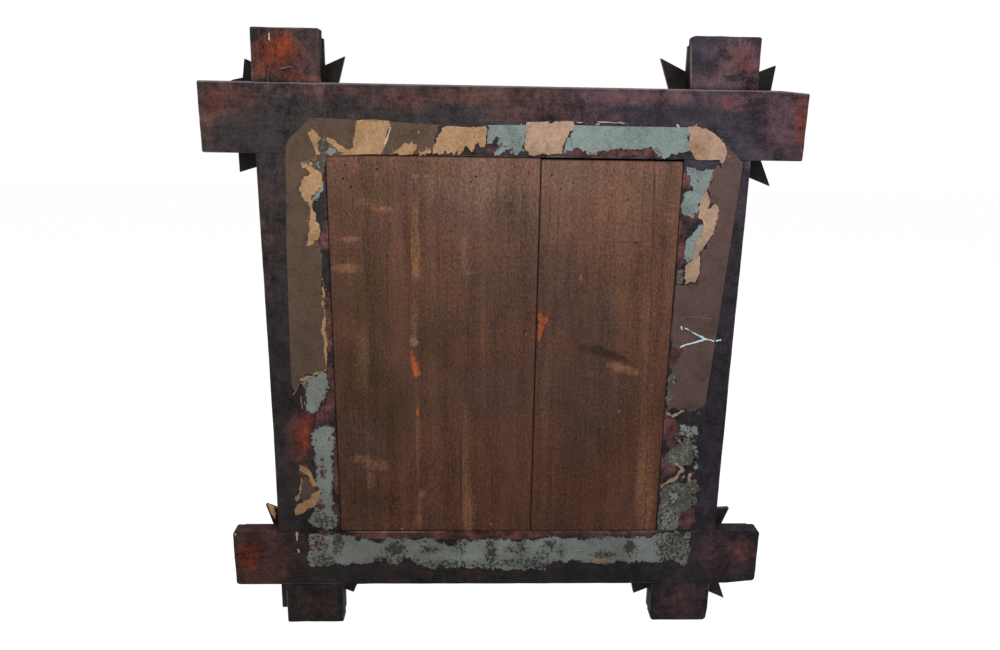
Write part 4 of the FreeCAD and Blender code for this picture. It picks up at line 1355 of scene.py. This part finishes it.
def torn_sheets(number, sheets, crumbling, level, tear):
    """Points, faces and eaten rims of a group of torn sheets with the loose bits beside them."""
    size = sizes()
    rng = random.Random(PAPER_SEED + number)
    keep = GREEN_KEEP if crumbling else SHEET_KEEP
    spacing = GREEN_SPACING if crumbling else SHEET_SPACING
    curl = size.paper_curl * tear
    outlines = [torn_outline(sheet, size.paper_tear * tear, keep, rng) for sheet in sheets]
    if tear > CRUMB_TEAR:
        outlines += crumbs(outlines, rng, CRUMBS_EACH * len(sheets))
    points = []
    faces = []
    eaten = []
    for i, outline in enumerate(outlines):
        more, ring, rim = sheet_mesh(outline, level * MM, curl, spacing, number * SEEDS_EACH + i, rng)
        add_to(points, faces, more, ring)
        eaten += rim
    return points, faces, np.array(eaten)


class MIRROR_OT_papers(bpy.types.Operator):
    """Torn remains of the paper dust seal, in plies, with chalk strokes"""

    bl_idname = "mirror.papers"
    bl_label = "Papers"

    def execute(self, context):
        finishes = paper_finishes()
        for number, (name, sheets, finish, slot, level, tear, nodes) in enumerate(PAPERS):
            crumbling = slot == "green_paper"
            points, faces, eaten = torn_sheets(number, sheets, crumbling, level, tear)
            piece = put_mesh(name, points, faces, finishes[finish], False)
            mesh = piece.data
            places = mesh_points(mesh)
            light = np.clip(PAPER_LIGHT + PAPER_LIGHT_UP * places[:, 2], *PAPER_LIGHT_RANGE)
            add_attribute(mesh, "light", light)
            add_attribute(mesh, "cool", np.clip((pixels_of(places)[0] - COOL_START) / COOL_RUN, 0, 1))
            if crumbling:
                add_attribute(mesh, "olive", painted(places, OLIVE_MOTTLES))
                add_attribute(mesh, "bare", painted(places, BARE_MOTTLES))
                add_attribute(mesh, "rim", eaten * (GREY_EATEN if finish == "grey paper" else PLY_EATEN))
            settle(piece, slot, *nodes)
        return {"FINISHED"}


def soft_copy(name, node, finish, bevel):
    """Merged copy of a CAD node with its edges bevelled."""
    source = bmesh.new()
    source.from_mesh(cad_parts[node].data)
    bmesh.ops.remove_doubles(source, verts=source.verts, dist=1e-5)
    bmesh.ops.dissolve_limit(source, angle_limit=math.radians(2), verts=source.verts, edges=source.edges)
    mesh = bpy.data.meshes.new(name)
    source.to_mesh(mesh)
    source.free()
    mesh.materials.clear()
    mesh.materials.append(finish)
    piece = bpy.data.objects.new(name, mesh)
    bpy.context.scene.collection.objects.link(piece)
    soft = piece.modifiers.new("bevel", "BEVEL")
    soft.width = bevel
    soft.segments = 2
    soft.limit_method = "ANGLE"
    soft.angle_limit = math.radians(25)
    without_modifiers(piece)
    return piece


def nodes_ending(*ends):
    """Names of the CAD nodes that end in one of some words, sorted."""
    return sorted(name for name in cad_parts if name.endswith(ends))


def soften(node, ending, finish):
    """Puts a softened copy of a carved CAD node in its place."""
    piece = soft_copy(node + ending, node, finish, sizes().carved_bevel)
    add_rise(piece)
    settle(piece, "carved_wood", node)


def carved_pair(kind, level):
    """Finishes of a kind of carved piece with level and with upright grain."""
    flat = carved_finish("stained level " + kind, 0, level)
    return flat, carved_finish("stained upright " + kind, 2, level)


class MIRROR_OT_facings(bpy.types.Operator):
    """Facings glued on the front of the bars"""

    bl_idname = "mirror.facings"
    bl_label = "Facings"

    def execute(self, context):
        finishes = carved_pair("facing", 0.75)
        for node in nodes_ending("_facing"):
            low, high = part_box(node)
            upright = high.z - low.z > high.x - low.x
            soften(node, "_eased", finishes[upright])
        return {"FINISHED"}


# What is left of the broken point beside the upper stub, and a point split down to raw wood,
# in photo pixels
STAR_SPLINTER = ((226, 82.5), (233, 79.5), (240, 78), (247, 76.5), (250, 80), (250, 86), (226, 86))
RAW_POINT = ((267.8, 504.2), (274, 507.4), (275.4, 512), (275.4, 519), (271, 513))
# Depths of these two slips of wood from the back of the stars, and the rise painted on them
SPLINTER_DEPTHS = (-4 * MM, -0.2 * MM)
RAW_DEPTHS = (-1 * MM, 0.9 * MM)
SLIP_RISE = 0.4


def turned_out(piece):
    """Faces of a closed piece turned outwards."""
    shell = bmesh.new()
    shell.from_mesh(piece.data)
    bmesh.ops.recalc_face_normals(shell, faces=shell.faces)
    shell.to_mesh(piece.data)
    shell.free()


def wood_slip(name, pixels, depths, finish):
    """Slip of wood at the back of the stars, with an outline in photo pixels and two depths."""
    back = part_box("top_right_star")[1].y
    outline = [on_back(px, py, back) for px, py in pixels]
    points = [(x, back + depth, z) for depth in depths for x, z in outline]
    count = len(outline)
    faces = [tuple(range(count)), tuple(range(2 * count - 1, count - 1, -1))]
    faces += [(i, i + count, (i + 1) % count + count, (i + 1) % count) for i in range(count)]
    piece = put_mesh(name, points, faces, finish, False)
    turned_out(piece)
    add_attribute(piece.data, "rise", np.full(len(points), SLIP_RISE))
    settle(piece, "carved_wood")


class MIRROR_OT_stars(bpy.types.Operator):
    """Corner stars, small stars and carved bosses"""

    bl_idname = "mirror.stars"
    bl_label = "Stars"

    def execute(self, context):
        finish = carved_finish("stained carving", 2, 1.3)
        for node in nodes_ending("_star", "_boss"):
            soften(node, "_carved", finish)
        wood_slip("star_splinter", STAR_SPLINTER, SPLINTER_DEPTHS, finish)
        wood_slip("raw_star_point", RAW_POINT, RAW_DEPTHS, raw_finish("raw wood"))
        return {"FINISHED"}


# A notch is cut by a unit block turned on its edge, about 0.7 from its middle to its corners. Its
# scale over the pitch, over the notch's depth, and over the board's thickness, which it passes through
CUT_WIDTH = 0.66
CUT_DEPTH = 1.4142
CUT_THROUGH = 3.0


def notched_tree():
    """Geometry Nodes tree of a board whose four edges are notched with slanted knife cuts."""
    tree = bpy.data.node_groups.new("notched board", "GeometryNodeTree")
    for name in ("Length", "Width", "Thickness", "Pitch", "Depth", "Slant"):
        tree.interface.new_socket(name, in_out="INPUT", socket_type="NodeSocketFloat")
    tree.interface.new_socket("Material", in_out="INPUT", socket_type="NodeSocketMaterial")
    tree.interface.new_socket("Geometry", in_out="OUTPUT", socket_type="NodeSocketGeometry")

    maker = Tree(tree)

    def vector(x, y, z):
        return maker.node("ShaderNodeCombineXYZ", {}, {0: x, 1: y, 2: z}).outputs[0]

    def moved(shape, socket, value):
        return maker.node("GeometryNodeTransform", {}, {0: shape, socket: value}).outputs[0]

    turn_socket = 2
    scale_socket = 3
    given = {socket.name: Value(maker, socket) for socket in maker.node("NodeGroupInput", {}, {}).outputs}
    extent = vector(given["Length"], given["Width"], given["Thickness"])
    board = maker.node("GeometryNodeMeshCube", {}, {0: extent})
    cut_size = vector(
        given["Pitch"] * CUT_WIDTH, given["Depth"] * CUT_DEPTH, given["Thickness"] * CUT_THROUGH)
    block = maker.node("GeometryNodeMeshCube", {}, {0: vector(1.0, 1.0, 1.0)})
    turned = moved(block.outputs[0], turn_socket, (0.0, 0.0, math.pi / 4))
    shaped = moved(turned, scale_socket, cut_size)
    leaned = moved(shaped, turn_socket, vector(given["Slant"], 0.0, 0.0))
    joined = maker.node("GeometryNodeJoinGeometry", {}, {})
    for side in range(4):
        span, across = given["Length"], given["Width"]
        if side % 2:
            span, across = across, span
        room = span - given["Depth"]
        count = (room / given["Pitch"]).math("FLOOR")
        step = room / count
        line = maker.node("GeometryNodeMeshLine", {"mode": "OFFSET"}, {
            "Count": count, "Start Location": vector((count - 1.0) * step * -0.5, across * 0.5, 0.0),
            "Offset": vector(step, 0.0, 0.0)})
        spread = {"Points": line.outputs[0], "Instance": leaned}
        cuts = maker.node("GeometryNodeInstanceOnPoints", {}, spread)
        placed = moved(cuts.outputs[0], turn_socket, (0.0, 0.0, side * math.pi / 2))
        maker.plug(joined.inputs[0], placed)
    cutters = maker.node("GeometryNodeRealizeInstances", {}, {0: joined.outputs[0]})
    carved = maker.node("GeometryNodeMeshBoolean", {"operation": "DIFFERENCE", "solver": "EXACT"}, {
        "Mesh 1": board.outputs[0], "Mesh 2": cutters.outputs[0]})
    whole = maker.node("GeometryNodeRealizeInstances", {}, {0: carved.outputs[0]})
    sockets = {"Geometry": whole.outputs[0], "Material": given["Material"]}
    coated = maker.node("GeometryNodeSetMaterial", {}, sockets)
    maker.node("NodeGroupOutput", {}, {0: coated.outputs[0]})
    return tree


def from_tree(name, tree, values):
    """Object made by a Geometry Nodes tree with its inputs set, turned into a plain mesh."""
    piece = bpy.data.objects.new(name, bpy.data.meshes.new(name))
    bpy.context.scene.collection.objects.link(piece)
    layer = piece.modifiers.new("tree", "NODES")
    layer.node_group = tree
    for socket in tree.interface.items_tree:
        if socket.in_out == "INPUT" and socket.name in values:
            layer[socket.identifier] = values[socket.name]
    without_modifiers(piece)
    return piece


# Pitch and depth of the notches along the sides and on the bar ends
SIDE_NOTCH = (9.0 * MM, 4.0 * MM)
END_NOTCH = (5.0 * MM, 2.4 * MM)


class MIRROR_OT_tiers(bpy.types.Operator):
    """Notch-carved tiers along the sides and on the bar ends"""

    bl_idname = "mirror.tiers"
    bl_label = "Carved tiers"

    def execute(self, context):
        finishes = carved_pair("tier", 1.0)
        tree = notched_tree()
        for node in nodes_ending("_tier", "_cap"):
            low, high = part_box(node)
            span = high - low
            upright = span.z > span.x
            values = {"Thickness": span.y, "Slant": sizes().notch_slant, "Material": finishes[upright]}
            values["Pitch"], values["Depth"] = END_NOTCH if "_end_" in node else SIDE_NOTCH
            values["Length"] = span.z if upright else span.x
            values["Width"] = span.x if upright else span.z
            piece = from_tree(node + "_notched", tree, values)
            axes = ((0, 0, 1), (1, 0, 0), (0, 1, 0)) if upright else ((1, 0, 0), (0, 0, -1), (0, 1, 0))
            turn = Matrix(axes).transposed().to_4x4()
            piece.data.transform(Matrix.Translation((low + high) / 2) @ turn)
            add_rise(piece)
            settle(piece, "carved_wood", node)
        return {"FINISHED"}


def swept(path, radii, sides, turn):
    """Closed tube along a path with its radii, turned about the path."""
    up = Vector((0, 0, 1))
    points = []
    faces = []
    for i, (place, radius) in enumerate(zip(path, radii)):
        first = path[max(i - 1, 0)]
        last = path[min(i + 1, len(path) - 1)]
        run = (Vector(last) - Vector(first)).normalized()
        across = run.cross(up)
        for k in range(sides):
            angle = 2 * math.pi * k / sides + turn
            spoke = across * math.cos(angle) + up * math.sin(angle)
            points.append(Vector(place) + spoke * radius)
    for i in range(len(path) - 1):
        for k in range(sides):
            a = i * sides + k
            b = i * sides + (k + 1) % sides
            faces.append((a, a + sides, b + sides, b))
    faces.append(tuple(range(sides)))
    faces.append(tuple(reversed(range(len(points) - sides, len(points)))))
    return points, faces


# How far the tip of each clinched nail rises, the left one first
NAIL_TILT = {-1: 1.2 * MM, 1: -2.6 * MM}
# Bent tail of a clinched nail: share of its reach, height above the back and radius in millimetres
NAIL_BEND = (
    (0, -1.5, 1.1), (0.0, 0.2, 1.2), (0.06, 0.9, 1.25), (0.2, 1.1, 1.25), (0.45, 1.0, 1.2),
    (0.75, 0.8, 0.9), (0.99, 0.5, 0.4),
)
NAIL_SIDES = 8
# Head of a clinched nail: height above its front and radius in millimetres
NAIL_HEAD = ((0.05, 2.2), (0.8, 2.3), (1.0, 1.1))
# Points of the CAD nails this near to the front are the head's, and those this far behind the
# back plane are the tail's
NAIL_NEAR = 0.1 * MM


def clinched_nail(cad, front, side):
    """Points and faces of the bent nail on one side, placed by its CAD points."""
    ours = cad[cad[:, 0] * side > 0]
    tail = ours[ours[:, 1] > NAIL_NEAR]
    head = ours[ours[:, 1] < front + NAIL_NEAR]
    x = (head[:, 0].min() + head[:, 0].max()) / 2
    z = (head[:, 2].min() + head[:, 2].max()) / 2
    span = (tail[:, 0].min() - x, tail[:, 0].max() - x)
    reach = span[0] if abs(span[0]) > abs(span[1]) else span[1]
    tilt = NAIL_TILT[side]
    path = [(x, front + rise * MM, z) for rise, _ in NAIL_HEAD]
    path += [(x + reach * share, rise * MM, z + tilt * share) for share, rise, _ in NAIL_BEND]
    radii = [row[-1] * MM for row in NAIL_HEAD + NAIL_BEND]
    return swept(path, radii, NAIL_SIDES, math.pi / NAIL_SIDES)


class MIRROR_OT_nails(bpy.types.Operator):
    """Clinched nails bent over on the back, and the finish of the hidden nails"""

    bl_idname = "mirror.nails"
    bl_label = "Nails"

    def execute(self, context):
        iron = iron_finish("dull iron")
        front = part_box("clinched_nails")[0].y
        cad = mesh_points(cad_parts["clinched_nails"].data)
        points = []
        faces = []
        for side in (-1, 1):
            add_to(points, faces, *clinched_nail(cad, front, side))
        piece = put_mesh("clinched_nails_bent", points, faces, iron)
        turned_out(piece)
        settle(piece, "nail_iron", "clinched_nails")
        for node in ("lap_nails", "star_nails", "board_brads"):
            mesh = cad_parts[node].data
            mesh.materials.clear()
            mesh.materials.append(iron)
        return {"FINISHED"}


class MIRROR_OT_glass(bpy.types.Operator):
    """Old silvered glass"""

    bl_idname = "mirror.glass"
    bl_label = "Mirror glass"

    def execute(self, context):
        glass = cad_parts["mirror_glass"]
        glass.data.materials.clear()
        glass.data.materials.append(glass_finish("old silvering"))
        return {"FINISHED"}


# Lights: name, place, what it is aimed at, side length, power
LIGHTS = (
    ("key", (0.15, 1.05, 1.25), (0.0, 0.0, 0.05), 1.0, 15.0),
    ("fill", (-0.9, 1.5, 0.4), (0.0, 0.0, 0.0), 1.2, 3.0),
    ("front", (0.5, -1.3, 1.1), (0.0, 0.0, 0.0), 1.2, 24.0),
    ("front_fill", (-1.1, -1.2, 0.3), (0.0, 0.0, 0.0), 1.2, 12.0),
)
WORLD_LIGHT = 0.24
FLOOR_HALF = 6.0
# Floor: its own grey, its glow, and how much of the glow the camera and mirrors see
FLOOR_GREY = (0.85, 0.85, 0.85)
FLOOR_GLOW = 1.12
FLOOR_SHOWN = 0.86


def seen(tree):
    """1 for rays from the camera and off shiny surfaces, 0 for the others."""
    path = tree.node("ShaderNodeLightPath", {}, {}).outputs
    return Value(tree, path["Is Camera Ray"]).math("MAXIMUM", path["Is Glossy Ray"])


def white_world():
    """A ground that is white to the camera and lights the scene only a little."""
    world = bpy.data.worlds.new("white ground")
    world.use_nodes = True
    tree = Tree(world.node_tree)
    level = tree.node("ShaderNodeMapRange", {}, {0: seen(tree), 3: WORLD_LIGHT, 4: 1.0})
    sky = tree.node("ShaderNodeBackground", {}, {0: (1.0, 1.0, 1.0), 1: level.outputs[0]})
    tree.node("ShaderNodeOutputWorld", {}, {0: sky.outputs[0]})
    return world


def floor_finish(name):
    """White floor that shows soft shadows."""
    ground = bpy.data.materials.new(name)
    ground.use_nodes = True
    tree = Tree(ground.node_tree)
    plain = tree.node("ShaderNodeBsdfDiffuse", {}, {0: FLOOR_GREY})
    glow = tree.node("ShaderNodeEmission", {}, {1: FLOOR_GLOW})
    shaders = {0: seen(tree) * FLOOR_SHOWN, 1: plain.outputs[0], 2: glow.outputs[0]}
    both = tree.node("ShaderNodeMixShader", {}, shaders)
    tree.node("ShaderNodeOutputMaterial", {}, {0: both.outputs[0]})
    return ground


class MIRROR_OT_stage(bpy.types.Operator):
    """White floor and ground, soft lights and the photo's camera"""

    bl_idname = "mirror.stage"
    bl_label = "Stage"

    def execute(self, context):
        scene = context.scene
        scene.view_settings.view_transform = "Standard"
        scene.world = white_world()
        for name, place, aim, side, power in LIGHTS:
            lamp = bpy.data.lights.new(name, "AREA")
            lamp.energy = power
            lamp.size = side
            holder = bpy.data.objects.new(name, lamp)
            holder.location = place
            holder.rotation_euler = (Vector(aim) - Vector(place)).to_track_quat("-Z", "Y").to_euler()
            holder.visible_glossy = False
            scene.collection.objects.link(holder)
        low = CAD_LOW.z
        far = FLOOR_HALF
        corners = ((-far, -far, low), (far, -far, low), (far, far, low), (-far, far, low))
        floor = put_mesh("floor", corners, ((0, 1, 2, 3),), floor_finish("white floor"), False)
        view = bpy.data.cameras.new("photo camera")
        view.sensor_width = SENSOR_MM
        view.lens = FOCAL_PIXELS * SENSOR_MM / PHOTO_WIDTH
        view.clip_start = 0.01
        eye = bpy.data.objects.new("photo camera", view)
        turn = Matrix((EYE_RIGHT, EYE_UP, EYE_BACK)).transposed().to_4x4()
        eye.matrix_world = Matrix.Translation(EYE) @ turn
        scene.collection.objects.link(eye)
        scene.camera = eye
        return {"FINISHED"}


OPERATORS = (
    MIRROR_OT_bars, MIRROR_OT_boards, MIRROR_OT_papers, MIRROR_OT_facings, MIRROR_OT_stars, MIRROR_OT_tiers,
    MIRROR_OT_nails, MIRROR_OT_glass, MIRROR_OT_stage,
)


class MIRROR_PT_build(bpy.types.Panel):
    """Steps and values of the mirror"""

    bl_idname = "MIRROR_PT_build"
    bl_label = "Mirror"
    bl_space_type = "VIEW_3D"
    bl_region_type = "UI"
    bl_category = "Mirror"

    def draw(self, context):
        for group in (sizes(), colours()):
            for key in group.__annotations__:
                self.layout.prop(group, key)
        for step in OPERATORS:
            self.layout.operator(step.bl_idname)


CLASSES = (MirrorSizes, MirrorColours) + OPERATORS + (MIRROR_PT_build,)


def register():
    """Adds the classes and the scene's values."""
    for kind in CLASSES:
        bpy.utils.register_class(kind)
    bpy.types.Scene.mirror_sizes = bpy.props.PointerProperty(type=MirrorSizes)
    bpy.types.Scene.mirror_colours = bpy.props.PointerProperty(type=MirrorColours)


def unregister():
    """Takes away what register added."""
    del bpy.types.Scene.mirror_colours
    del bpy.types.Scene.mirror_sizes
    for kind in reversed(CLASSES):
        bpy.utils.unregister_class(kind)


def main():
    """Builds everything in order."""
    register()
    bpy.ops.mirror.bars()
    bpy.ops.mirror.boards()
    bpy.ops.mirror.papers()
    bpy.ops.mirror.facings()
    bpy.ops.mirror.stars()
    bpy.ops.mirror.tiers()
    bpy.ops.mirror.nails()
    bpy.ops.mirror.glass()
    bpy.ops.mirror.stage()
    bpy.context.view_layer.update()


if __name__ == "__main__":
    main()
